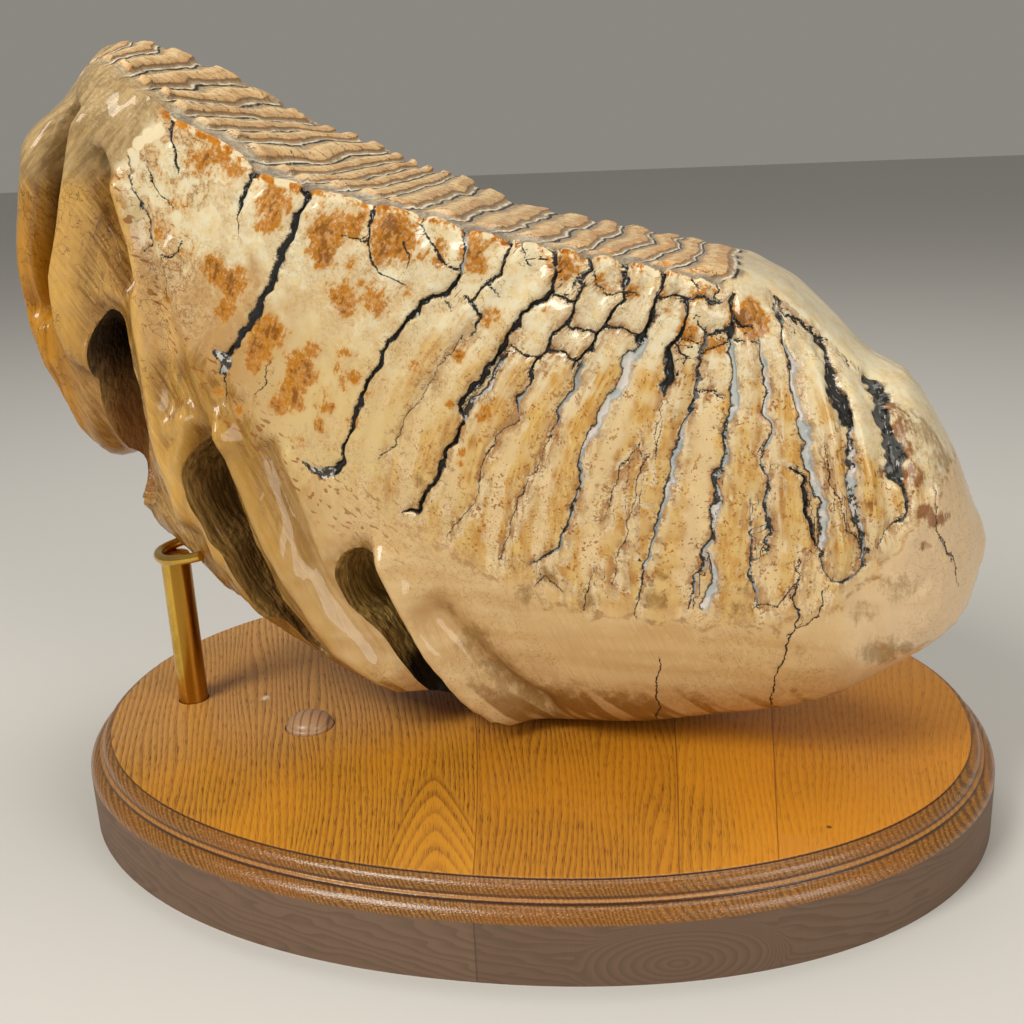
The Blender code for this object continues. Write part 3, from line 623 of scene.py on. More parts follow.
def tooth_finish(look, zone):
    """Lacquered fossil enamel, cement and dentine, all of one surface."""
    f = Finish("fossil_tooth_" + zone, Coat_Roughness=0.05, Specular_IOR_Level=0.25)
    fixed = ZONES[zone]
    place = f.place()
    x, y, z = f.separate(place)
    plate, down, pale = f.attribute("plates")
    fold, below, cement = f.attribute("zones")
    cement = fixed.get("cement", cement)
    rust, red, olive = f.attribute("marks")
    gape, filled, inset = f.attribute("seam")
    ended = f.attribute("crown")[0]
    offset_x, offset_y, reach = f.attribute("crack")
    broad, mid, level = f.attribute("clouds")

    moved = f.node("VectorMath", {"operation": "ADD"}, {0: place, 1: (31.0, 7.0, 3.0)})
    fine = f.noise(place, 0.8, 2.0, 0.7)
    grit = f.noise(place, 2.4, 0.0)
    blotch = f.noise(moved, 0.30, 3.0, 0.72)
    speckle = f.noise(moved, 1.2, 1.0)
    grain = f.noise(f.combine(plate * 7.0, down * 0.13, y * 0.06), 1.0, 2.0, 0.7)
    fibre = f.noise(f.combine(plate * 4.5, down * 0.03), 1.0, 1.0, 0.65)
    # The same patterns about zero, to ruffle the edges of a layer.
    drift, ruffle, patchy, streaky = (pattern - 0.5 for pattern in (mid, fine, blotch, grain))

    # Cracks: an offset to the nearest line, roughened so that the edges are ragged.
    near = f.span(offset_x + ruffle * 1.3, offset_y + (grit - 0.5)) + f.step(reach, 2.2, 3.6) * 8.0
    wide = gape * (0.55 + 0.9 * blotch)
    open_line = f.fall(near, wide * 0.7, wide * 1.1 + 0.12)

    # Enamel of the crown's sides.
    faded = f.step(down + drift * 40.0, 26.0, 50.0) * f.fall(plate, 11.0, 14.0)
    cream = f.coats(
        look.cream,
        (f.step(blotch, 0.38, 0.66), 220, 198, 150),
        (f.step(down + drift * 30.0, 12.0, 60.0), 208, 180, 124),
        (faded * 0.8, 174, 130, 76),
    )
    clouded = f.mix(f.step(fine, 0.4, 0.68), paint(210, 180, 134), paint(168, 124, 76))
    to_left = f.fall(plate + drift * 6.0, 7.5, 10.5)
    cloudy = f.step(mid + (broad - 0.5) * 0.8, 0.46, 0.58)
    side = f.mix(cloudy * (0.3 + 0.65 * to_left), cream, clouded)

    # Towards the right the plates are tan, and a pale strip runs along the right of each crack.
    to_right = f.step(plate + drift * 3.0, 14.5, 19.0)
    to_low = f.step(down + drift * 12.0, 15.0, 32.0)
    right_low = to_right * to_low
    core = f.band(f.fraction(plate + drift * 0.3), 0.5, 0.48)
    tan = f.coats(
        paint(212, 176, 106),
        (f.step(grain, 0.32, 0.68), 190, 140, 66),
        (f.step(fibre, 0.54, 0.66) * 0.6, 160, 102, 34),
        (f.fall(core + streaky * 0.6, 0.1, 0.7) * 0.7, 226, 202, 158),
    )
    beside = offset_x + ruffle * 2.4 + drift * 2.0
    far_off = f.step(reach, 3.6, 4.4)
    heart = f.most(f.most(f.step(beside, 2.0, 3.6), f.fall(beside, -1.2, -0.4)), far_off)
    side = f.mix(right_low * heart * (0.5 + 0.5 * f.step(mid, 0.35, 0.6)), side, tan)
    strip = right_low * (1 - heart) * f.step(blotch, 0.36, 0.5) * (1 - far_off)
    chalk = f.mix(f.step(grain, 0.4, 0.6), paint(222, 200, 162), paint(186, 154, 112))
    side = f.mix(strip * 0.8, side, chalk)
    pores = f.step(speckle, 0.64, 0.69) * f.step(mid, 0.46, 0.56)
    lining = f.fall(reach, 0.6, 2.6) * to_right * f.step(grain, 0.46, 0.56)
    side = f.coats(
        side,
        (f.step(blotch + (speckle - 0.5) * 0.5, 0.62, 0.68) * right_low * 0.7, 158, 98, 26),
        (pores * to_low * (0.1 + 0.5 * to_right), 116, 68, 20),
        (lining * 0.6, 148, 90, 22),
    )

    # Below the plates' ends: the smooth base at the right, the golden roots at the left.
    under = fixed.get("under", f.step(below + drift * 16.0 + streaky * 14.0, -6.0, 6.0))
    base = f.coats(
        paint(206, 174, 124),
        (f.step(level, 0.34, 0.66), 198, 162, 110),
        (f.step(blotch, 0.5, 0.72) * 0.5, 214, 186, 138),
        (f.step(x, 90.0, 116.0) * 0.7, 212, 184, 148),
    )
    threads = f.noise(f.combine(x * 0.9 + z * 0.42, y * 0.25, z * 0.09), 1.0, 2.0, 0.65)
    # Painted shade: the roots' deep creases are darkened, less so right of the first hollow.
    crease_shade = f.fall(fold + ruffle * 2.0, -9.0, -2.5)
    crease_shade = crease_shade * (0.35 + 0.65 * f.fall(x, -120.0, -106.0))
    roots = f.coats(
        look.root,
        (f.step(fibre, 0.34, 0.68), 178, 136, 72),
        (f.step(mid, 0.45, 0.7) * 0.5, 136, 92, 36),
        (f.step(grain, 0.58, 0.72) * 0.5, 98, 62, 24),
        (f.step(threads, 0.48, 0.64) * 0.7, 112, 72, 26),
        (f.fall(threads, 0.32, 0.44) * 0.5, 214, 172, 100),
        (f.step(speckle, 0.64, 0.70) * 0.6, 84, 50, 20),
        # Painted highlight on the raised folds.
        (f.step(fold, 1.5, 6.0) * 0.65, 216, 170, 90),
        (f.band(x, -68.0, 42.0) * 0.45, 146, 106, 30),
        # Painted light on the strip right of the first hollow, which lies in shadow.
        (f.band(x, -104.0, 9.0) * f.step(z, 148.0, 158.0) * 0.55, 238, 196, 132),
        (f.fall(x, -130.0, -120.0) * f.fall(z, 158.0, 172.0) * 0.45, 150, 104, 44),
        # Painted shade in the deep creases.
        (crease_shade, 66, 34, 8),
        (f.fall(x, -150.0, -136.0) * f.fall(z, 180.0, 214.0) * 0.75, 192, 130, 14),
    )
    body = f.mix(f.step(plate + drift * 2.0, 12.0, 16.0), roots, base)
    dashes = f.noise(f.combine(x * 0.26 - z * 0.2, x * 0.4 + z * 0.52), 1.0, 1.0)
    margin = f.band(below - 2.0, 0.0, 14.0) * (1 - to_right)
    low_edge = f.fall(z + patchy * 18.0, 45.0, 56.0) * f.step(plate, 12.0, 13.0)
    slope = f.noise(f.combine((x + z * 0.8) * 0.17, z * 0.03), 1.0, 0.0)
    ledge = f.band(below + drift * 10.0, 2.0, 1.6) * to_right

    # Then the iron, dark red and olive stains, with ragged, streaky edges.
    ragged = patchy * 1.3 + streaky * 0.9 + ruffle * 0.3
    rusty = f.step(rust + ragged, 0.40, 0.60) * (0.55 + 0.45 * f.step(fine, 0.34, 0.58))
    side = f.coats(
        f.mix(under, side, body),
        (margin * f.step(dashes, 0.60, 0.64) * 0.8, 142, 84, 32),
        (low_edge * f.step(slope, 0.50, 0.58) * 0.85, 134, 92, 34),
        (ledge * f.step(blotch, 0.4, 0.6) * 0.6, 150, 108, 58),
        (f.step(rust + ragged * 0.7, 0.1, 0.5) * 0.5, 196, 152, 88),
        (rusty, 178, 112, 8),
    )
    side = f.coats(
        f.mix(f.step(rust + ragged * 1.4, 0.78, 1.12) * 0.9, side, look.rust),
        (f.step(red + ragged, 0.45, 0.9) * 0.85, 126, 70, 6),
        (f.step(olive + ragged, 0.25, 0.85) * 0.65, 132, 98, 42),
    )

    # Fine brown veins, close-set at the left, hairlines elsewhere, and short spurs off the cracks.
    ruffled = f.combine(x + fine * 2.5 + mid * 9.0, y + blotch * 4.0, z + grain * 3.0 - mid * 7.0)
    net = f.node("TexVoronoi", {"feature": "DISTANCE_TO_EDGE"}, {"Vector": ruffled, "Scale": 0.36})
    netted = f.step(cloudy * to_left + f.step(blotch, 0.52, 0.62) * 0.4, 0.35, 0.8)
    near_crack = f.fall(reach, 1.5, 5.0) * f.step(blotch, 0.48, 0.56) * (1 - under)
    spur = f.fall(net, 0.012, 0.04) * near_crack * 0.7
    hair = f.band(blotch, 0.5, 0.008) * f.step(broad, 0.5, 0.56) * 0.6
    veins = f.most(f.fall(net, 0.01, 0.045) * netted * 0.8, f.most(hair, spur))

    # Golden-beige fibrous cement round the worn end, with bare enamel beside it.
    slant = f.noise(f.combine((x - z) * 0.42, (x + z) * 0.06, y * 0.25), 1.0, 2.0, 0.65)
    matrix = f.coats(
        paint(180, 152, 106),
        (f.step(slant, 0.36, 0.64), 144, 118, 76),
        (f.step(fine, 0.5, 0.7) * 0.4, 154, 132, 96),
    )
    side = f.coats(side, (veins * 0.9, 84, 52, 26))
    side = f.mix(cement * (0.7 + 0.3 * f.step(fine, 0.3, 0.55)), side, matrix)
    bare = fixed.get("bare", f.step(pale + ruffle * 0.3, 0.45, 0.6) * 0.9)

    # The chewing surface: raised plates with cracks across, enamel lines, dark lines and cement.
    wavy = plate + drift * 0.1 + ruffle * 0.07
    turn = f.fraction(wavy)
    raised = f.step(turn, 0.0, 0.08) * f.fall(turn, 0.64, 0.76)
    raised = raised * f.step(ended + ruffle * 0.6, 0.3, 0.6)
    between = y * 0.21 + f.math("FLOOR", wavy) * 0.618 + patchy * 1.7 + ruffle * 0.2
    cross = f.band(f.fraction(between), 0.5, 0.05) * f.step(speckle, 0.36, 0.44)
    flesh = f.coats(
        paint(218, 184, 134),
        (f.step(mid, 0.35, 0.65), 200, 160, 112),
        (f.step(speckle, 0.5, 0.66) * 0.5, 172, 130, 80),
        # Painted highlight along the top edge of each plate.
        (f.band(turn, 0.24, 0.16) * 0.6, 232, 206, 158),
        (f.band(turn, 0.68, 0.07) * 0.8, 104, 70, 38),
        (cross * 0.95, 54, 34, 20),
    )
    mud = f.coats(
        paint(188, 168, 134),
        (f.step(fine, 0.35, 0.65), 140, 120, 92),
        (to_right * 0.5, 140, 124, 108),
    )
    tips = f.band(ended, 0.7, 0.5) * raised * (0.3 + 0.7 * to_right)
    top = f.coats(
        f.mix(raised, mud, flesh),
        (f.band(turn, 0.80, 0.045) * f.step(mid, 0.3, 0.5), 226, 214, 190),
        (f.band(turn, 0.88, 0.05) * f.step(blotch, 0.36, 0.46), 40, 36, 36),
        (tips * f.step(blotch, 0.5, 0.6), 206, 134, 50),
    )
    cemented = f.most(cement * f.fall(inset, 4.0, 9.0) * 0.8, f.fall(x, -143.0, -136.0))
    top = f.mix(cemented, top, matrix)

    # The rim is bright enamel with orange patches, and a grey gutter runs inside it.
    rim = f.coats(
        paint(232, 216, 176),
        (f.step(blotch + drift * 0.5, 0.43, 0.56), 196, 124, 20),
        (f.step(blotch, 0.54, 0.66) * 0.85, 158, 86, 4),
    )
    worn = fixed.get("worn", f.fall(plate + drift * 1.2, LAST_WORN, LAST_WORN + 0.3))
    inside_rim = f.step(inset + drift * 3.0, 1.9, 2.5)
    on_rim = f.step(inset + ruffle * 1.2, -1.6, -0.4) * (1 - inside_rim) * worn * (1 - cement)
    on_rim = fixed.get("on_rim", on_rim)
    on_top = fixed.get("on_top", inside_rim * worn)
    gutter = worn * (1 - ended) * (1 - cement) * on_top * f.step(x, -141.0, -137.0)
    grey = f.mix(f.step(mid + fine * 0.4, 0.55, 0.85), paint(166, 152, 130), paint(116, 108, 100))
    shade = f.mix(on_top, f.mix(on_rim, side, rim), top)
    shade = f.coats(f.mix(gutter * 0.65, shade, grey), (bare, 232, 216, 178))

    # Open cracks are dark. Wide ones hold a blue-white mineral, with a dark line down one side.
    mineral = f.coats(
        look.fill,
        (f.step(mid, 0.42, 0.58), 214, 206, 198),
        (f.step(blotch, 0.5, 0.56) * f.fall(filled, 0.6, 0.9), 62, 58, 52),
    )
    left_edge = 0.35 + 0.65 * f.step(offset_x * -1.0, -0.3, 0.3)
    dark_line = f.step(near, wide - 0.8, wide - 0.35) * left_edge
    inside = f.mix(f.most(dark_line, f.fall(filled, 0.05, 0.5)), mineral, look.soot)
    cracked = fixed.get("cracked", open_line * (1 - on_top))

    fibrous = fixed.get("fibrous", f.step(below, -4.0, 6.0))
    height = grit * (0.06 + 0.3 * on_top) + fibrous * (fibre * 0.5 + threads * 0.35)
    return f.finish(
        Base_Color=f.mix(cracked, shade, inside),
        Roughness=0.34 + 0.22 * fine + 0.12 * on_top + 0.15 * cement + cracked * 0.3,
        Coat_Weight=0.6 - 0.3 * on_top - 0.2 * cement,
        Normal=f.bump(height, 0.8, 0.8),
    )


def hollow_finish():
    """Wet-looking brown inside the root hollows, each with its own tone, and some painted light and
    shade.
    """
    f = Finish("root_hollow", Coat_Weight=0.7, Coat_Roughness=0.08)
    place = f.place()
    x, depth, up = f.separate(place)
    rough = f.noise(place, 0.22, 2.0, 0.65)
    ruffle = rough - 0.5
    streak = f.noise(f.combine(x * 0.5 + up * 0.2, depth * 0.5, up * 0.06), 1.0, 1.0)
    first = f.fall(x, -104.0, -102.0)
    third = f.step(x, -54.0, -50.0)
    wall = f.mix(first, paint(160, 128, 72), paint(150, 116, 70))
    inner = f.coats(paint(150, 116, 66), (third, 180, 150, 88), (first, 152, 112, 64))
    # Painted shade: near black at the top of the first hollow. The third hollow is darker at its
    # foot.
    shaded_roof = first * f.step(up + ruffle * 18.0, 128.0, 156.0)
    foot = third * f.fall(up + ruffle * 8.0, 52.0, 62.0)
    shade = f.mix(f.step(depth + ruffle * 10.0, -38.0, -26.0), wall, inner)
    dark = f.mix(first, paint(80, 60, 32), paint(142, 90, 42))
    shade = f.coats(
        f.mix(f.step(streak, 0.4, 0.62) * 0.6, shade, dark),
        # Painted light on the first hollow's walls, apart from the deepest part.
        (first * f.fall(depth + ruffle * 8.0, -22.0, -12.0) * 0.8, 196, 158, 104),
        # Near black: painted shade at the top of the first hollow, and the third hollow's darker
        # foot.
        (f.most(shaded_roof, foot) * 0.95, 22, 11, 6),
    )
    height = rough + streak * 0.6
    return f.finish(Base_Color=shade, Roughness=0.25 + 0.3 * rough, Normal=f.bump(height, 1.6, 0.9))


def ring_lines(f, rings, low, high, last):
    """Growth lines: each darkens from low to high of a ring, and ends sharply after last."""
    turn = f.fraction(rings)
    return f.step(turn, low, high) * f.fall(turn, last, 1.0)


def oak_finish(look):
    """Edge-glued planks with the grain front to back, a stained moulding and a plain wall."""
    f = Finish("oak_board", Coat_Roughness=0.14)
    x, y, z = f.separate(f.place())
    # The grain fans out a little, and the glued joints follow it.
    flat = x + y * f.math("MINIMUM", 0.2333 - x * 0.00273, 0.4)
    number = sum(f.step(flat, joint - 0.15, joint + 0.15) for joint in JOINTS)
    shifted = flat + number * 37.0
    sway = f.noise(f.combine(shifted * 0.045, y * 0.008, number * 5.0), 1.0, 1.0)
    rings = shifted / (look.ring / MM) + sway * 9.0
    late = ring_lines(f, rings, 0.2, 0.95, 0.95)
    # A cathedral figure in the plank left of the middle: nested pointed arches, open to the front.
    arch_y = ARCH_TOP - y
    bow = f.math("ABSOLUTE", x - ARCH_PLACE - arch_y * ARCH_LEAN) ** 1.5
    arch = arch_y - bow * ARCH_SPREAD + (sway - 0.5) * 10.0
    in_arch = f.step(arch, -12.0, 0.0) * f.fall(number, 0.0, 0.5)
    late = late + (ring_lines(f, arch / 9.0, 0.25, 0.9, 0.9) - late) * in_arch
    pores = f.noise(f.combine(shifted * 3.4, y * 0.17, number), 1.0, 1.0, 0.6)
    pore = f.step(pores + late * 0.07, 0.60, 0.68)
    fine = f.noise(f.combine(shifted * 6.0, y * 0.3, number), 1.0, 1.0)
    cloud = f.noise(f.combine(x * 0.02, y * 0.02, number * 3.0), 1.0, 1.0)
    wood = f.coats(
        f.mix(late * 0.6 + 0.3 * fine, look.light, look.dark),
        (pore * (0.55 + 0.4 * late), 92, 48, 6),
        (f.step(cloud, 0.4, 0.62) * 0.35, 222, 146, 34),
        (in_arch * f.step(arch, 4.0, 12.0) * 0.3, 214, 146, 48),
    )
    # Painted sheen: the wood turns paler and greyer towards the back and left.
    greyish = f.mix(late * 0.6 + 0.3 * pore, paint(204, 156, 98), paint(136, 90, 48))
    wood = f.mix(f.step(y - x * 0.35, -42.0, 10.0) * 0.5, wood, greyish)
    tone = f.step(number, 0.5, 1.0) - f.step(number, 1.5, 2.0) * 0.6
    tone = tone + f.step(number, 2.5, 3.0) * 0.3
    seam = 0.0
    for joint in JOINTS:
        seam = f.most(seam, f.band(flat, joint, 0.3))
    patch = f.step(x, 83.6, 84.4) * f.fall(x, 103.0, 105.0) * f.fall(y + x * 0.15, -64.4, -63.4)
    fleck = f.fall(f.span(x + 92.7, (y + 11.0) * 0.8) + (fine - 0.5) * 4.0, 1.0, 1.6)
    wood = f.coats(
        wood,
        (tone * 0.18, 150, 84, 16),
        # Painted light: the planks on the right are lighter, where the tooth's shadow falls.
        (f.step(flat, 30.0, 90.0) * 0.4, 226, 146, 40),
        (seam * 0.6, 84, 44, 12),
        (patch * 0.6, 204, 134, 48),
        (fleck, 224, 206, 182),
        (f.fall(f.span(x - 97.6, y + 71.9), 0.5, 1.0) * 0.8, 60, 30, 10),
    )

    # The moulding cuts across the growth rings, so they show as short slanting stripes.
    stripe = ring_lines(f, rings * 1.25 + z * 0.42 + sway * 2.0, 0.3, 0.6, 0.85)
    glint = f.noise(f.combine(x * 1.6, y * 1.6, z * 3.0), 1.0, 0.0)
    # Painted shade in the moulding's grooves and at the edge of the flat top.
    grooves = f.most(f.band(z, 22.75, 0.55), f.band(z, 24.1, 0.5) * 0.7)
    grooves = f.most(f.band(z, 27.62, 0.3), grooves)
    edge = f.coats(
        f.mix(stripe * 0.75, look.edge, look.edge * 0.28),
        (f.step(cloud, 0.4, 0.6) * 0.4, 140, 84, 28),
        (f.step(glint, 0.60, 0.72) * 0.4, 200, 140, 70),
        (grooves * 0.9, 48, 22, 6),
        # Painted highlight along the fillet between the grooves.
        (f.band(z, 23.38, 0.25) * 0.4, 206, 146, 80),
    )

    # The wall is bare and greyer, with flat-sawn waves and a knot-like figure towards the right.
    knot_x = f.span(x - 58.0, (z - 6.0) * 2.2)
    knot = f.fall(knot_x, 22.0, 30.0) * f.step(number, 0.5, 0.6)
    swell = f.noise(f.combine(x * 0.025, y * 0.02, z * 0.12), 1.0, 2.0)
    waves = shifted * 0.05 + swell * 6.0 + z * 0.34
    waves = waves + (knot_x * 0.32 - waves) * knot
    wall = f.coats(
        f.mix(ring_lines(f, waves, 0.15, 0.9, 0.9) * 0.55, look.wall, look.wall * 0.5),
        (fine * 0.5, 98, 76, 58),
        (f.step(number, 0.4, 0.6) * 0.25, 84, 62, 46),
        (f.band(flat, JOINTS[0], 0.4) * 0.5, 50, 38, 30),
    )
    on_top = f.step(z, 27.86, 27.98)
    on_edge = f.step(z, 18.3, 18.9)
    moulded = on_edge - on_top
    gloss = 0.38 + 0.2 * pore * on_top + (1 - on_edge) * 0.25 + 0.1 * fine - 0.12 * moulded
    height = f.fall(pores, 0.60, 0.68) * 0.7 * on_top + glint * moulded * 1.2
    return f.finish(
        Base_Color=f.mix(on_top, f.mix(on_edge, wall, edge), wood),
        Roughness=gloss,
        Coat_Weight=0.16 * on_edge + 0.12 * moulded,
        Normal=f.bump(height, 0.14, 0.7),
    )


def plug_finish():
    """A plug cut across a plank, with a few dark growth lines."""
    f = Finish("plug_wood", Coat_Weight=0.3, Coat_Roughness=0.2)
    x, y, z = f.separate(f.place())
    wave = f.noise(f.combine(x * 0.2, y * 0.05, z * 0.1), 1.0, 2.0)
    dark = f.band(f.fraction((x - PLUG_X + y * 0.12) / 2.7 + wave * 0.7), 0.5, 0.16)
    fine = f.noise(f.combine(x * 3.0, y * 0.5, z), 1.0, 2.0)
    wood = f.mix(fine, (0.46, 0.27, 0.14), (0.36, 0.20, 0.10))
    shade = f.mix(dark * 0.75, wood, (0.16, 0.085, 0.045))
    relief = f.bump(1 - dark, 0.1, 0.5)
    return f.finish(Base_Color=shade, Roughness=0.36 + 0.15 * fine, Normal=relief)


def brass_finish(look):
    """Brass from the lathe, brighter where it has been rubbed, with painted shade down the post's
    right side.
    """
    f = Finish("brass", Metallic=1.0, Coat_Weight=0.3, Coat_Roughness=0.1)
    place = f.place()
    x, y, z = f.separate(place)
    cloud = f.noise(place, 0.12, 4.0, 0.6)
    drawn = f.noise(f.combine(x * 2.0, y * 2.0, z * 0.12), 1.0, 3.0)
    old = f.step(cloud + (drawn - 0.5) * 0.25, 0.42, 0.72)
    foot = f.fall(z, BOARD_THICKNESS, BOARD_THICKNESS + 6.0)
    # Painted shade: the post's right side, below the top, takes the darker brass.
    shaded_side = f.step(x - POST_X, -0.4, 0.4) * f.fall(z, POST_TOP - 2.0, POST_TOP) * 0.8
    shade = f.mix(f.most(f.most(old * 0.5, shaded_side), foot * 0.75), look.brass, look.tarnish_and_shade)
    gloss = 0.16 + 0.16 * cloud + 0.1 * foot
    return f.finish(Base_Color=shade, Roughness=gloss, Normal=f.bump(drawn, 0.05, 0.25))


def floor_finish(look):
    f = Finish("pale_floor", Roughness=0.75)
    cloud = f.noise(f.place(), 0.004, 0.0)
    return f.finish(Base_Color=f.mix(cloud * 0.12, look.floor, look.floor * 0.9))


# ---------------------------------------------------------------- mesh helpers


def tooth_matrix():
    return Matrix.Translation(TOOTH_PLACE) @ Matrix.Rotation(math.radians(TOOTH_TURN), 4, "Z")


def linked(name, data):
    """A new object that holds the data, in the scene."""
    obj = bpy.data.objects.new(name, data)
    bpy.context.scene.collection.objects.link(obj)
    return obj


def as_object(bm, name, materials, sharp_angle=35.0):
    """Turn a working mesh in mm into a named object in metres, at the origin."""
    bmesh.ops.scale(bm, vec=Vector((MM, MM, MM)), verts=bm.verts)
    bmesh.ops.recalc_face_normals(bm, faces=bm.faces)
    mesh = bpy.data.meshes.new(name)
    bm.to_mesh(mesh)
    bm.free()
    for finish in materials:
        mesh.materials.append(finish)
    mesh.shade_smooth()
    mesh.set_sharp_from_angle(angle=math.radians(sharp_angle))
    return linked(name, mesh)


def worked_out(obj):
    """The object, with its modifiers or its curve worked out, as a working mesh. It is used up."""
    graph = bpy.context.evaluated_depsgraph_get()
    mesh = bpy.data.meshes.new_from_object(obj.evaluated_get(graph))
    if not mesh.polygons:
        raise RuntimeError(f"nothing is left of {obj.name}")
    bpy.data.objects.remove(obj)
    bm = bmesh.new()
    bm.from_mesh(mesh)
    bpy.data.meshes.remove(mesh)
    return bm


def combined(obj, other, operation):
    """A working mesh in mm of the exact Boolean of two objects. Both are used up."""
    made = obj.modifiers.new(operation.lower(), "BOOLEAN")
    made.operation = operation
    made.solver = "EXACT"
    made.object = other
    bm = worked_out(obj)
    bpy.data.objects.remove(other)
    bmesh.ops.scale(bm, vec=Vector((1 / MM, 1 / MM, 1 / MM)), verts=bm.verts)
    return bm


def hand_over(obj, node):
    """The piece stands for the frame's node and moves with it."""
    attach(obj, BODY)
    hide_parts(node)


# ---------------------------------------------------------------- molar


def row_at(table, key):
    """A smooth row between the rows of a table. The first column is the key."""
    keys = [row[0] for row in table]
    place = max(0, min(len(table) - 2, sum(1 for value in keys if value <= key) - 1))
    span = keys[place + 1] - keys[place]
    t = (key - keys[place]) / span
    before = max(place - 1, 0)
    after = min(place + 2, len(table) - 1)
    start = np.array(table[place])
    end = np.array(table[place + 1])
    leave = (end - np.array(table[before])) / (keys[place + 1] - keys[before]) * span
    arrive = (np.array(table[after]) - start) / (keys[after] - keys[place]) * span
    curve = (2 * start - 2 * end + leave + arrive) * t**3
    return curve + (3 * end - 3 * start - 2 * leave - arrive) * t**2 + leave * t + start


def ease(value, start, end):
    t = np.clip((value - start) / (end - start), 0.0, 1.0)
    return t * t * (3 - 2 * t)


def bell(value, width):
    return np.exp(-((value / width) ** 2))


def smooth_noise(points, size, seed=0.0):
    """Soft noise from about -1 to 1 over an array of points in mm."""
    flat = points.reshape(-1, 3) / size + seed
    return np.array([noise.noise(Vector(point)) for point in flat]).reshape(points.shape[:-1])


def clouds(places):
    """Broad cloud, middling cloud and level bands for each point, each about 0.3 to 0.7."""
    broad = smooth_noise(places, 29.0, 50.0)
    mid = sum(smooth_noise(places, size, 60.0 + size) * size**0.6 for size in (7.0, 3.5, 1.8))
    level = smooth_noise(places * np.array([0.1, 0.1, 1.0]), 4.0, 70.0)
    return np.column_stack([0.5 + 0.45 * broad, 0.5 + 0.12 * mid, 0.5 + 0.45 * level])


def section_outline(near, far, half_height, crown_square, foot_square):
    """A section (across, height), from the middle of the chewing surface to the near side."""
    arcs = [
        (90.0, 135.0, TOP_POINTS),
        (135.0, 225.0, NEAR_POINTS),
        (225.0, 270.0, FOOT_POINTS),
        (270.0, 315.0, FOOT_POINTS),
        (315.0, 405.0, FAR_POINTS),
        (405.0, 450.0, TOP_POINTS),
    ]
    outline = []
    for start, end, count in arcs:
        angle = np.radians(np.linspace(start, end, ARC_STEPS + 1))
        cosine = np.cos(angle)
        sine = np.sin(angle)
        power = np.where(sine > 0, 2.0 / crown_square, 2.0 / foot_square)
        across = np.sign(cosine) * np.abs(cosine) ** power * np.where(cosine > 0, far, near)
        height = np.sign(sine) * np.abs(sine) ** power * half_height
        steps = np.hypot(np.diff(across), np.diff(height))
        gone = np.concatenate([[0.0], np.cumsum(steps)])
        wanted = gone[-1] * np.arange(count) / count
        spots = [np.interp(wanted, gone, sides) for sides in (across, height)]
        outline.append(np.stack(spots, axis=1))
    return np.concatenate(outline)


def nearest_on_line(points, line):
    """For points (along, up): distance and offset to the nearest place on a line, and the line's
    other columns there."""
    line = np.array(line, float)
    best = np.full(len(points), np.inf)
    offset = np.zeros((len(points), 2))
    carried = np.zeros((len(points), line.shape[1] - 2))
    for start, end in zip(line, line[1:]):
        step = end[:2] - start[:2]
        part = np.clip((points - start[:2]) @ step / (step @ step), 0.0, 1.0)
        gap = points - start[:2] - part[:, None] * step
        distance = np.hypot(*gap.T)
        closer = distance < best
        best[closer] = distance[closer]
        offset[closer] = gap[closer]
        carried[closer] = (start[2:] + part[:, None] * (end - start)[2:])[closer]
    return best, offset, carried


def fold_relief(along, up):
    """Height of the roots' folds. Each line's two sides have their own width."""
    points = np.stack([along.ravel(), up.ravel()], axis=1)
    total = np.zeros(len(points))
    for height, left, right, *numbers in FOLDS:
        line = np.reshape(numbers, (-1, 2))
        ways = np.diff(line, axis=0)
        directed = np.hstack([line, np.vstack([ways, ways[-1:]])])
        distance, gap, way = nearest_on_line(points, directed)
        on_right = way[:, 0] * gap[:, 1] - way[:, 1] * gap[:, 0] > 0
        total += height * bell(distance, np.where(on_right, right, left))
    return total.reshape(along.shape)


def lip_relief(along, up):
    """The surface dips where a root hollow opens."""
    points = np.stack([along.ravel(), up.ravel()], axis=1)
    total = np.zeros(len(points))
    for mouth in HOLLOWS:
        outline = [(spot.x, spot.y) for spot in closed_curve(mouth, LIP_SIDES)]
        distance = nearest_on_line(points, outline + outline[:1])[0]
        total = np.maximum(total, bell(distance, LIP_WIDTH))
    return -LIP_DIP * total.reshape(along.shape)


def plate_number(station):
    """Counts the plates along the tooth: a whole number in each groove."""
    before = GROOVES[0] - (GROOVES[1] - GROOVES[0])
    after = 2 * GROOVES[-1] - GROOVES[-2]
    return np.interp(station, [before, *GROOVES, after], np.arange(-1, len(GROOVES) + 1))


def plate_chance(plate, seed):
    """A number from about -1 to 1 for each whole plate."""
    count = np.floor(plate)
    return np.sin(count * 12.9898 + seed) * np.cos(count * 4.1414 + seed * 2.0)


def chewing_profile(plate):
    """Height across one plate, from -1 in the cement to 1 on the plate."""
    turn = plate - np.floor(plate)
    raised = ease(turn, 0.0, 0.24) * (1 - ease(turn, 0.54, 0.8))
    return raised * 1.35 - 0.5 + 0.35 * bell(turn - 0.86, 0.045)


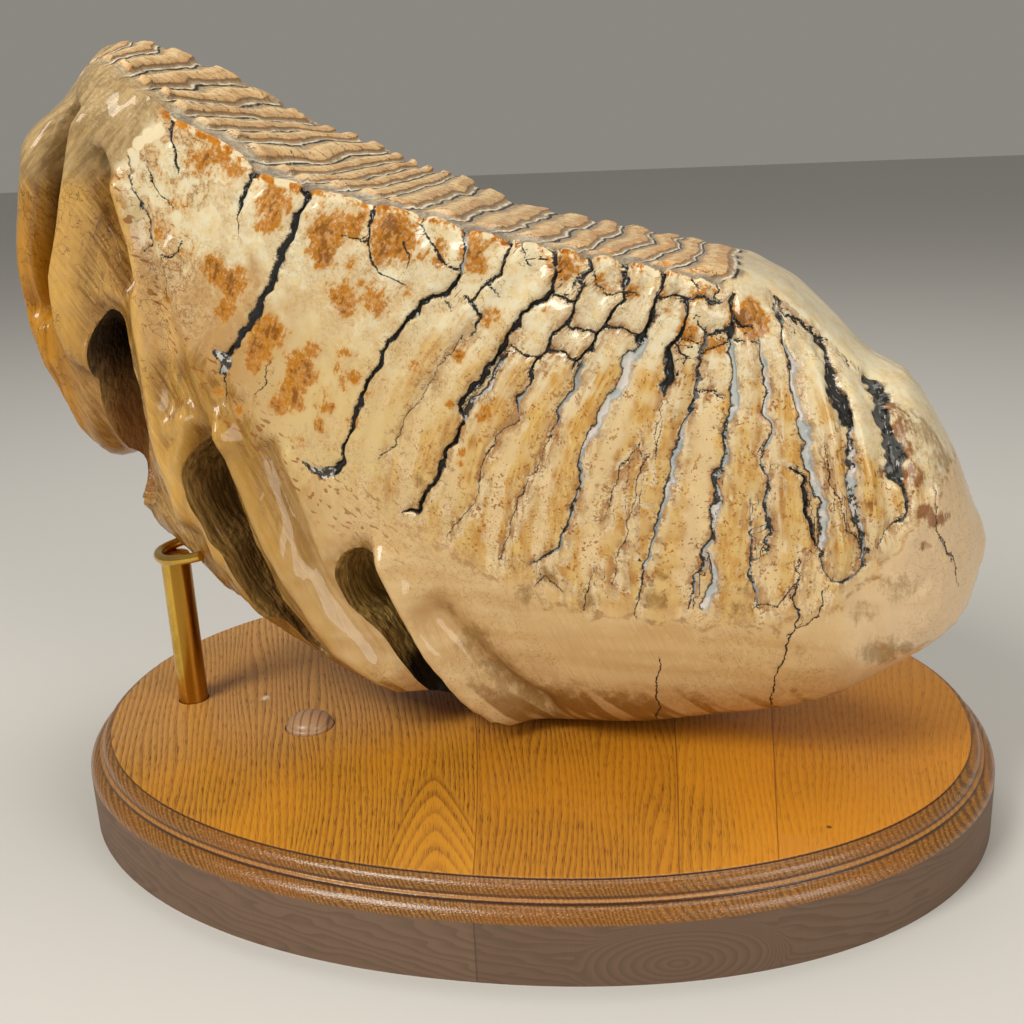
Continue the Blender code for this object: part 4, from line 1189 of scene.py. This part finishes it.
def tooth_rings(settings):
    """The rings of the tooth: their points, and (plate, down, inset, fold, ridge) of each point.

    The inset is the distance in from the crown's edge on top. It is negative down the sides.
    """
    first = STATIONS[0][0]
    last = STATIONS[-1][0]
    stations = np.linspace(first, last, int((last - first) / RING_STEP))
    rows = [row_at(STATIONS, station) for station in stations]
    squares = [row_at(FOOT_SQUARENESS, station)[1] for station in stations]
    outline = []
    for row, square in zip(rows, squares):
        upper = math.hypot(row[0] - row[2], row[1] - row[3])
        lower = math.hypot(row[2] - row[4], row[3] - row[5])
        edge = row[10] * (1.0 + float(np.interp(row[0], *zip(*EDGE_AT))))
        outline.append(section_outline(row[6], row[7], (upper + lower) / 2, edge, square))
    outline = np.array(outline)
    row = np.array(rows)[:, None, :]
    across = outline[..., 0]
    upper = np.hypot(row[..., 0] - row[..., 2], row[..., 1] - row[..., 3])
    lower = np.hypot(row[..., 2] - row[..., 4], row[..., 3] - row[..., 5])
    t = 0.5 - outline[..., 1] / (upper + lower)
    foot_at = upper / (upper + lower)
    weight_crown = (t - foot_at) * (t - 1.0) / foot_at
    weight_foot = t * (t - 1.0) / (foot_at * (foot_at - 1.0))
    weight_edge = t * (t - foot_at) / (1.0 - foot_at)
    lean = (1.0 - ease(t, 0.0, SKEW_ENDS)) * across / SKEW_SPAN
    weights = (weight_crown, weight_foot, weight_edge, lean)
    along = sum(row[..., column] * weight for column, weight in zip((0, 2, 4, 8), weights))
    up = sum(row[..., column] * weight for column, weight in zip((1, 3, 5, 9), weights))
    ahead = np.roll(outline, -1, axis=1) - np.roll(outline, 1, axis=1)
    outward = np.stack([ahead[..., 1], -ahead[..., 0]], axis=-1)
    outward /= np.linalg.norm(outward, axis=-1, keepdims=True)
    on_side = ease(np.abs(outward[..., 0]), 0.3, 0.9)
    on_plates = 1.0 - ease(t, foot_at - 0.08, foot_at + 0.04)
    down = t * (upper + lower)
    half = np.where(across < 0, row[..., 6], row[..., 7])
    inset = half - np.abs(across) - down

    points = np.stack([along, across, up], axis=-1)
    station = np.broadcast_to(stations[:, None], across.shape)
    waves = smooth_noise(points, 24.0) * 3.6 + smooth_noise(points, 10.0, 9.0) * 1.1
    curl = 3.2 * ease(9.0 - inset, 0.0, 6.0)
    plate = plate_number(station + (waves + curl) * ease(inset, -2.0, 3.0))
    flute = np.interp(station, *zip(*FLUTE_AT))
    worn = np.interp(station, *zip(*WEAR_AT))
    ends = np.interp(station, *zip(*RIDGE_ENDS)) + 1.9 * plate_chance(plate, 3.0)
    ended = ease(inset, ends - 1.4, ends + 0.8)
    profile = chewing_profile(plate) * (0.9 + 0.22 * smooth_noise(points, 6.0, 31.0))
    tips = 0.8 * bell(inset - ends - 1.8, 1.8) * (profile > 0)
    crown = ended * (profile + tips) - 0.35 * (1 - ended)
    notches = np.max([bell(points[..., 0] - notch, NOTCH_WIDTH) for notch in RIM_NOTCHES], axis=0)
    rim = 1.3 + 0.4 * smooth_noise(points, 5.0, 41.0) - NOTCH_DEPTH * notches
    rim *= bell(inset - 0.8, 1.9)
    crown *= ease(inset, 1.5, 4.0)
    whole = np.interp(station, [-118.0, -100.0], [0.0, 1.0])
    whole *= np.interp(station, [40.0, 76.0], [1.0, 0.3])
    relief = settings.ridge / MM * (worn * crown + rim * whole)
    relief += flute * np.cos(2 * math.pi * (plate - 0.5)) * on_side * on_plates
    folds = fold_relief(along, up) * on_side * np.where(across < 0, 1.0, FAR_FOLD)
    relief += folds + lip_relief(along, up) * on_side * (across < 0)
    relief += smooth_noise(points, 26.0, 3.0) * 0.9 * on_side + smooth_noise(points, 9.0, 5.0) * 0.4
    relief += smooth_noise(points, 4.5, 2.0) * 0.7 * ease(station, 100.0, 118.0)
    streaked = np.stack([station, t * 12.0, across * 0.05], axis=-1)
    on_roots = on_side * ease(t, foot_at, foot_at + 0.15)
    for size, seed, left, right in ((3.4, 7.0, 1.3, 0.4), (1.6, 17.0, 0.45, 0.1)):
        height = np.interp(station, [-60.0, 10.0], [left, right])
        relief += smooth_noise(streaked, size, seed) * on_roots * height
    lift = np.stack([row[..., 0] - row[..., 2], row[..., 1] - row[..., 3]], axis=-1)
    lift /= np.linalg.norm(lift, axis=-1, keepdims=True)
    points[..., 0] += lift[..., 0] * outward[..., 1] * relief
    points[..., 2] += lift[..., 1] * outward[..., 1] * relief
    points[..., 1] += outward[..., 0] * relief
    facts = np.stack([plate, down, inset, folds, ended], axis=-1)
    return points, facts


def domed_cap(pole, ring, count):
    """Rings from a pole to the first section, rounded like a dome."""
    pole = np.array(pole)
    middle = ring.mean(axis=0)
    axis = (middle - pole) / np.linalg.norm(middle - pole)
    out = ring - pole
    forward = (out @ axis)[:, None] * axis
    sideways = out - forward
    turns = np.linspace(0.0, math.pi / 2, count + 2)[1:-1]
    rings = [pole + forward * (1 - math.cos(turn)) + sideways * math.sin(turn) for turn in turns]
    return np.array(rings)


def bare_tooth(settings):
    """A ball pulled onto the rings of the tooth. Its facts are given for each vertex."""
    points, facts = tooth_rings(settings)
    left = domed_cap(LEFT_POLE, points[0], LEFT_CAP_RINGS)
    right = domed_cap(RIGHT_POLE, points[-1], RIGHT_CAP_RINGS)[::-1]
    points = np.concatenate([left, points, right])
    facts = np.pad(facts, ((LEFT_CAP_RINGS, RIGHT_CAP_RINGS), (0, 0), (0, 0)), "edge")
    rings, loop = points.shape[:2]
    bm = bmesh.new()
    bmesh.ops.create_uvsphere(bm, u_segments=loop, v_segments=rings + 1, radius=1.0)
    known = []
    for vert in bm.verts:
        ring = round(math.acos(max(-1.0, min(1.0, vert.co.z))) / math.pi * (rings + 1))
        turn = round(math.atan2(vert.co.y, vert.co.x) / math.tau * loop) % loop
        if ring == 0:
            vert.co = LEFT_POLE
        elif ring == rings + 1:
            vert.co = RIGHT_POLE
        else:
            vert.co = points[ring - 1][turn]
        known.append(facts[max(0, min(rings - 1, ring - 1))][turn])
    lowest = min(vert.co.z for vert in bm.verts)
    bmesh.ops.translate(bm, vec=Vector((0.0, 0.0, BOARD_THICKNESS + GAP - lowest)), verts=bm.verts)
    return bm, np.array(known)


def closed_curve(points, count):
    """This many points along a smooth closed curve through the points given."""
    places = [Vector(point) for point in points]
    total = len(places)
    curve = []
    for step in range(count):
        at = step * total / count
        place = int(at)
        t = at - place
        a, b, c, d = (places[(place + shift) % total] for shift in (-1, 0, 1, 2))
        bend = (3 * b - 3 * c + d - a) * t**3 + (2 * a - 5 * b + 4 * c - d) * t**2
        curve.append(((c - a) * t + bend) / 2 + b)
    return curve


def hollow_cutters():
    """One object that opens all the root hollows from the near side."""
    bm = bmesh.new()
    for mouth in HOLLOWS:
        disc = bmesh.ops.create_circle(bm, cap_ends=True, segments=HOLLOW_SIDES, radius=1.0)
        made = disc["verts"]
        outline = closed_curve(mouth, HOLLOW_SIDES)
        middle = sum(outline, Vector((0.0, 0.0))) / HOLLOW_SIDES
        size, depth = HOLLOW_STEPS[0]
        for vert, spot in zip(made, outline):
            spot = middle + (spot - middle) * size
            vert.co = (spot.x, depth, spot.y)
        face = made[0].link_faces[0]
        centre = Matrix.Translation((-middle.x, 0.0, -middle.y))
        for step, (next_size, next_depth) in enumerate(HOLLOW_STEPS[1:]):
            grown = bmesh.ops.extrude_face_region(bm, geom=[face])["geom"]
            if step:
                bmesh.ops.delete(bm, geom=[face], context="FACES_ONLY")
            face = next(item for item in grown if isinstance(item, bmesh.types.BMFace))
            verts = list(face.verts)
            ratio = next_size / size
            bmesh.ops.scale(bm, vec=Vector((ratio, 1.0, ratio)), space=centre, verts=verts)
            bmesh.ops.translate(bm, vec=Vector((0.0, next_depth - depth, 0.0)), verts=verts)
            size = next_size
            depth = next_depth
    noise.seed_set(HOLLOW_SEED)
    for vert in bm.verts:
        if vert.co.y > HOLLOW_MOUTH + 1.0:
            vert.co += noise.noise_vector(vert.co / 9.0) * Vector((1.2, 1.6, 1.2))
    for face in bm.faces:
        face.material_index = 1
    return bm


def crack_field(points, near_side):
    """Offset to the nearest crack, its distance, half width and fill, for points (along, up)."""
    best = np.full(len(points), OUT_OF_REACH)
    offset = np.full((len(points), 2), OUT_OF_REACH)
    facts = np.zeros((len(points), 2))
    shift = 0.0 if near_side else FAR_SHIFT
    for filled, *numbers in CRACKS:
        line = np.reshape(numbers, (-1, 3)) + (shift, 0.0, 0.0)
        low = line.min(axis=0)[:2] - OUT_OF_REACH
        high = line.max(axis=0)[:2] + OUT_OF_REACH
        around = np.flatnonzero(((points > low) & (points < high)).all(axis=1))
        if not len(around):
            continue
        distance, gap, carried = nearest_on_line(points[around], line)
        # A wide crack wins over a narrow one beside it.
        closer = distance - carried[:, 0] < best[around] - facts[around, 0]
        chosen = around[closer]
        best[chosen] = distance[closer]
        offset[chosen] = gap[closer]
        facts[chosen, 0] = carried[closer, 0]
        facts[chosen, 1] = filled
    return np.column_stack([offset, best]), facts


def stain_field(points, spots):
    total = np.zeros(len(points))
    for along, up, radius, strength in spots:
        distance = np.hypot(points[:, 0] - along, points[:, 1] - up)
        total = np.maximum(total, strength * bell(distance, radius * 1.25))
    return total - 0.45 * (1 - ease(total, 0.02, 0.25))


def tooth_cracks(places):
    """Crack field for points (along, across, up) on either side of the tooth."""
    wander = [
        smooth_noise(places, 7.0, seed) * 1.7 + smooth_noise(places, 2.4, seed + 4.0) * 0.9
        for seed in (11.0, 23.0)
    ]
    flat = places[:, [0, 2]] + np.stack(wander, axis=1)
    near_field, near_facts = crack_field(flat, True)
    far_field, far_facts = crack_field(flat, False)
    far = (places[:, 1] > FAR_SIDE)[:, None]
    return np.where(far, far_field, near_field), np.where(far, far_facts, near_facts)


def refine_cracks(bm, facts_of):
    """Halve the faces beside the cracks, so that their grooves are sharp."""
    for reach, farthest in HALVINGS:
        places = np.array([vert.co for vert in bm.verts])
        field, seam = tooth_cracks(places)
        close = (field[:, 2] < seam[:, 0] + reach) & (places[:, 1] < farthest)
        for vert, flag in zip(bm.verts, close):
            plate, _, inset, *_ = facts_of(vert)
            vert.tag = bool(flag and (inset < 3.0 or plate > LAST_WORN and inset < 16.0))
        edges = [edge for edge in bm.edges if edge.verts[0].tag and edge.verts[1].tag]
        bmesh.ops.subdivide_edges(bm, edges=edges, cuts=1, use_grid_fill=True)


def split_zones(mesh, zones):
    """Give each face that lies wholly in one zone that zone's simpler material."""
    corners = np.zeros(len(mesh.loops), dtype=np.int32)
    mesh.loops.foreach_get("vertex_index", corners)
    starts = np.zeros(len(mesh.polygons), dtype=np.int32)
    mesh.polygons.foreach_get("loop_start", starts)
    slots = np.zeros(len(mesh.polygons), dtype=np.int32)
    mesh.polygons.foreach_get("material_index", slots)
    lowest = np.minimum.reduceat(zones[corners], starts)
    highest = np.maximum.reduceat(zones[corners], starts)
    inside = (lowest == highest) & (lowest > 0) & (slots == 0)
    slots[inside] = lowest[inside] + 1
    mesh.polygons.foreach_set("material_index", slots)


def build_tooth(settings):
    bm, known = bare_tooth(settings)
    tree = kdtree.KDTree(len(bm.verts))
    for place, vert in enumerate(bm.verts):
        tree.insert(vert.co, place)
    tree.balance()

    solid = as_object(bm, "molar_body", [None, None])
    cutters = as_object(hollow_cutters(), "hollow_cutters", [None, None])
    bm = combined(solid, cutters, "DIFFERENCE")

    def facts_of(vert):
        return known[tree.find(vert.co)[1]]

    refine_cracks(bm, facts_of)
    bm.verts.ensure_lookup_table()
    bm.normal_update()
    places = np.array([vert.co for vert in bm.verts])
    facts = np.array([facts_of(vert) for vert in bm.verts])
    plate, down, inset, folds, ended = facts.T
    field, seam = tooth_cracks(places)
    seam[:, 0] *= 1 - 0.25 * ease(plate, 13.0, 18.0) * (seam[:, 1] > 0.3)
    field[inset > 3.4 + 14.0 * ease(plate, LAST_WORN - 0.5, LAST_WORN + 1.0)] = OUT_OF_REACH
    flat = places[:, [0, 2]]
    below = np.interp(flat[:, 0], *zip(*PLATE_ENDS)) - flat[:, 1]
    cement = ease((flat - CEMENT_POINT) @ CEMENT_WAY, -1.5, 2.5) * ease(flat[:, 1], 203.0, 212.0)
    depth = np.minimum(settings.crack / MM, seam[:, 0] * 1.5) * (1 - 0.85 * seam[:, 1])
    sink = depth * bell(field[:, 2], np.maximum(seam[:, 0] * 0.9, 0.35))
    # Each plate bulges a little between the cracks.
    sink += VALLEY * bell(field[:, 2], 2.3) * ease(plate, 13.0, 18.0) * (1 - ease(below, -8.0, 2.0))
    for vert, amount in zip(bm.verts, sink):
        if amount > 0.01 and vert.link_faces[0].material_index == 0:
            vert.co -= vert.normal * amount
    stains = [stain_field(flat, spots) for spots in (RUST, DARK_RED, OLIVE)]
    # The stains of the unworn end stay on its sides.
    over_end = (ease(inset, 3.0, 9.0) * (plate > LAST_WORN))[:, None]
    attributes = {
        "crack": field,
        "seam": np.column_stack([seam, inset]),
        "plates": np.column_stack([plate, down, stain_field(flat, PALE)]),
        "zones": np.column_stack([folds, below, cement]),
        "marks": np.column_stack(stains) - over_end,
        "clouds": clouds(places),
        "crown": np.column_stack([ended, ended, ended]),
    }
    bmesh.ops.transform(bm, matrix=tooth_matrix(), verts=bm.verts)
    low, high = (corner / MM for corner in CAD_BOX)
    for vert in bm.verts:
        vert.co.x = max(vert.co.x, low.x)
        vert.co.z = min(vert.co.z, high.z)
    finishes = [tooth_finish(settings, zone) for zone in ZONES]
    finishes.insert(1, hollow_finish())
    tooth = as_object(bm, "fossil_molar", finishes, sharp_angle=60.0)
    off_rim = (inset < -3.2) | (plate > LAST_WORN + 1.0)
    plain = off_rim & (cement < 0.005) & (attributes["plates"][:, 2] < 0.02)
    clean = (field[:, 2] > 4.4) & (attributes["marks"] < 0.0).all(axis=1)
    on_root = plain & clean & (below > 16.0)
    on_crown = plain & (below < -16.0)
    on_top = (inset > 6.0) & (plate < LAST_WORN - 0.8)
    split_zones(tooth.data, np.select([on_root, on_crown, on_top], [1, 2, 3], 0))
    for name, values in attributes.items():
        made = tooth.data.attributes.new(name, "FLOAT_VECTOR", "POINT")
        made.data.foreach_set("vector", values.astype(np.float32).ravel())
    return tooth


# ---------------------------------------------------------------- board, plug and support


def build_board(settings):
    """An oval slab whose edge is drawn up ring by ring along the moulding, with two blind holes."""
    bm = bmesh.new()
    bmesh.ops.create_circle(bm, cap_ends=True, segments=BOARD_SIDES, radius=1.0)
    half = Vector((BOARD_LENGTH / 2, BOARD_DEPTH / 2, 0.0))
    power = 2.0 / BOARD_SQUARENESS
    for vert in bm.verts:
        vert.co.x = half.x * math.copysign(abs(vert.co.x) ** power, vert.co.x)
        vert.co.y = half.y * math.copysign(abs(vert.co.y) ** power, vert.co.y)
    top = list(bm.faces)
    inset = 0.0
    height = 0.0
    for next_inset, next_height in [(0.0, WALL_HEIGHT), *MOULDING]:
        made = bmesh.ops.extrude_face_region(bm, geom=top)["geom"]
        if height:
            bmesh.ops.delete(bm, geom=top, context="FACES_ONLY")
        top = [item for item in made if isinstance(item, bmesh.types.BMFace)]
        verts = [item for item in made if isinstance(item, bmesh.types.BMVert)]
        shrink = [(side - next_inset) / (side - inset) for side in half.xy]
        bmesh.ops.scale(bm, vec=Vector((*shrink, 1.0)), verts=verts)
        bmesh.ops.translate(bm, vec=Vector((0.0, 0.0, next_height - height)), verts=verts)
        inset = next_inset
        height = next_height
    slab = as_object(bm, "board_slab", [])
    holes = bmesh.new()
    for radius, depth, x, y in (
        (POST_RADIUS + GAP, POST_SOCKET, POST_X, POST_Y),
        (PLUG_RADIUS + GAP, PLUG_SOCKET, PLUG_X, PLUG_Y),
    ):
        place = Matrix.Translation((x, y, BOARD_THICKNESS))
        bmesh.ops.create_cone(holes, cap_ends=True, segments=HOLE_SIDES, radius1=radius,
                              radius2=radius, depth=2 * depth, matrix=place)
    bm = combined(slab, as_object(holes, "board_holes", []), "DIFFERENCE")
    return as_object(bm, "oak_board", [oak_finish(settings)], sharp_angle=50.0)


def rounded(bm, edges, radius, steps):
    bmesh.ops.bevel(bm, geom=edges, offset=radius, offset_type="OFFSET", segments=steps,
                    profile=0.5, affect="EDGES", material=-1)


def round_bar(radius, bottom, top, x, y, rim, rim_steps):
    """An upright round bar with a rounded upper rim."""
    bm = bmesh.new()
    middle = (bottom + top) / 2
    bmesh.ops.create_cone(bm, cap_ends=True, segments=BAR_SIDES, radius1=radius, radius2=radius,
                          depth=top - bottom, matrix=Matrix.Translation((x, y, middle)))
    edges = [edge for edge in bm.edges if all(vert.co.z > middle for vert in edge.verts)]
    rounded(bm, edges, rim, rim_steps)
    return bm


def build_plug():
    bottom = BOARD_THICKNESS - PLUG_SOCKET + GAP
    crown = BOARD_THICKNESS + PLUG_RISE
    bm = round_bar(PLUG_RADIUS, bottom, crown, PLUG_X, PLUG_Y, 1.2, 5)
    below_top = crown - 0.01
    for size in PLUG_RINGS:
        top = [face for face in bm.faces
               if face.calc_center_median().z > below_top and len(face.verts) > 4]
        inset = top[0].calc_perimeter() / math.tau * (1 - size)
        bmesh.ops.inset_region(bm, faces=top, thickness=inset)
    for vert in bm.verts:
        if vert.co.z > below_top:
            out = math.hypot(vert.co.x - PLUG_X, vert.co.y - PLUG_Y) / PLUG_RADIUS
            vert.co.z += PLUG_DOME * (1 - out * out)
    return as_object(bm, "wooden_plug", [plug_finish()], sharp_angle=40.0)


def cradle_rod():
    """The bent rod as a round-bevelled curve made a mesh."""
    curve = bpy.data.curves.new("cradle_line", "CURVE")
    curve.dimensions = "3D"
    curve.resolution_u = 16
    curve.bevel_depth = ROD_RADIUS
    curve.bevel_resolution = 6
    curve.use_fill_caps = True
    spline = curve.splines.new("NURBS")
    spline.points.add(len(CRADLE_PATH) - 1)
    turn = tooth_matrix()
    for point, place in zip(spline.points, CRADLE_PATH):
        point.co = (*(turn @ Vector(place)), 1.0)
    spline.use_endpoint_u = True
    spline.order_u = 4
    bm = worked_out(linked("cradle_line", curve))
    bmesh.ops.remove_doubles(bm, verts=bm.verts, dist=1e-4)
    rims = [edge for edge in bm.edges if any(len(face.verts) > 4 for face in edge.link_faces)]
    rounded(bm, rims, 0.7, 4)
    return bm


def build_support(settings):
    bottom = BOARD_THICKNESS - POST_SOCKET + GAP
    post = as_object(round_bar(POST_RADIUS, bottom, POST_TOP, POST_X, POST_Y, 0.9, 4), "post", [])
    rod = as_object(cradle_rod(), "cradle", [])
    bm = combined(post, rod, "UNION")
    return as_object(bm, "brass_cradle_post", [brass_finish(settings)], sharp_angle=50.0)


# ---------------------------------------------------------------- stage


def add_light(name, place, size, power, tint):
    """A soft rectangular light that faces the middle of the stand."""
    lamp = bpy.data.lights.new(name, "AREA")
    lamp.shape = "RECTANGLE"
    lamp.size, lamp.size_y = size
    lamp.energy = power
    lamp.color = tint
    turn = (LIT_PLACE - Vector(place)).to_track_quat("-Z", "Y").to_matrix().to_4x4()
    linked(name, lamp).matrix_world = Matrix.Translation(place) @ turn


def build_stage(settings):
    bm = bmesh.new()
    bmesh.ops.create_grid(bm, x_segments=1, y_segments=1, size=FLOOR_REACH)
    mesh = bpy.data.meshes.new("floor")
    bm.to_mesh(mesh)
    bm.free()
    mesh.materials.append(floor_finish(settings))
    floor = linked("floor", mesh)

    bpy.context.scene.view_settings.view_transform = "Standard"
    world = bpy.data.worlds.new("soft_room")
    world.use_nodes = True
    sky = world.node_tree.nodes["Background"]
    sky.inputs["Color"].default_value = SKY_COLOUR
    sky.inputs["Strength"].default_value = SKY_STRENGTH
    bpy.context.scene.world = world
    for name, (place, size, share, tint) in LIGHTS.items():
        add_light(name, place, size, settings.key * share, tint)

    lens = bpy.data.cameras.new("camera")
    lens.lens = settings.lens
    lens.sensor_width = SENSOR_WIDTH
    camera = linked("camera", lens)
    axes = (CAMERA_RIGHT, CAMERA_UP, CAMERA_RIGHT.cross(CAMERA_UP))
    turn = Matrix(axes).transposed().to_4x4()
    camera.matrix_world = Matrix.Translation(CAMERA_PLACE) @ turn
    bpy.context.scene.camera = camera


# ---------------------------------------------------------------- add-on


class MOLAR_OT_tooth(bpy.types.Operator):
    """Build the fossil tooth."""

    bl_idname = "molar.tooth"
    bl_label = "Fossil tooth"

    def execute(self, context):
        hand_over(build_tooth(context.scene.molar_tooth), "molar")
        return {"FINISHED"}


class MOLAR_OT_board(bpy.types.Operator):
    """Build the oval oak board."""

    bl_idname = "molar.board"
    bl_label = "Oak board"

    def execute(self, context):
        hand_over(build_board(context.scene.molar_board), "base_board")
        return {"FINISHED"}


class MOLAR_OT_support(bpy.types.Operator):
    """Build the brass post and its cradle."""

    bl_idname = "molar.support"
    bl_label = "Brass support"

    def execute(self, context):
        hand_over(build_support(context.scene.molar_support), "brass_support")
        return {"FINISHED"}


class MOLAR_OT_plug(bpy.types.Operator):
    """Build the wooden plug in the board."""

    bl_idname = "molar.plug"
    bl_label = "Wooden plug"

    def execute(self, context):
        hand_over(build_plug(), "hole_plug")
        return {"FINISHED"}


class MOLAR_OT_stage(bpy.types.Operator):
    """Set out the floor, the lights and the camera."""

    bl_idname = "molar.stage"
    bl_label = "Stage"

    def execute(self, context):
        build_stage(context.scene.molar_stage)
        return {"FINISHED"}


class MOLAR_PT_panel(bpy.types.Panel):
    bl_label = "Mammoth Molar"
    bl_space_type = "VIEW_3D"
    bl_region_type = "UI"
    bl_category = "Molar"

    def draw(self, context):
        for operator in OPERATORS:
            self.layout.operator(operator.bl_idname)
        for name in SETTINGS:
            group = getattr(context.scene, name)
            box = self.layout.box()
            for item in group.bl_rna.properties:
                if item.identifier not in ("rna_type", "name"):
                    box.prop(group, item.identifier)


SETTINGS = {
    "molar_tooth": ToothSettings,
    "molar_board": BoardSettings,
    "molar_support": SupportSettings,
    "molar_stage": StageSettings,
}
OPERATORS = [MOLAR_OT_stage, MOLAR_OT_board, MOLAR_OT_plug, MOLAR_OT_support, MOLAR_OT_tooth]


def register():
    for group in (*SETTINGS.values(), *OPERATORS, MOLAR_PT_panel):
        bpy.utils.register_class(group)
    for name, group in SETTINGS.items():
        setattr(bpy.types.Scene, name, PointerProperty(type=group))


def unregister():
    for name in SETTINGS:
        delattr(bpy.types.Scene, name)
    for group in reversed((*SETTINGS.values(), *OPERATORS, MOLAR_PT_panel)):
        bpy.utils.unregister_class(group)


def main():
    register()
    bpy.ops.molar.stage()
    bpy.ops.molar.board()
    bpy.ops.molar.plug()
    bpy.ops.molar.support()
    bpy.ops.molar.tooth()


if __name__ == "__main__":
    main()
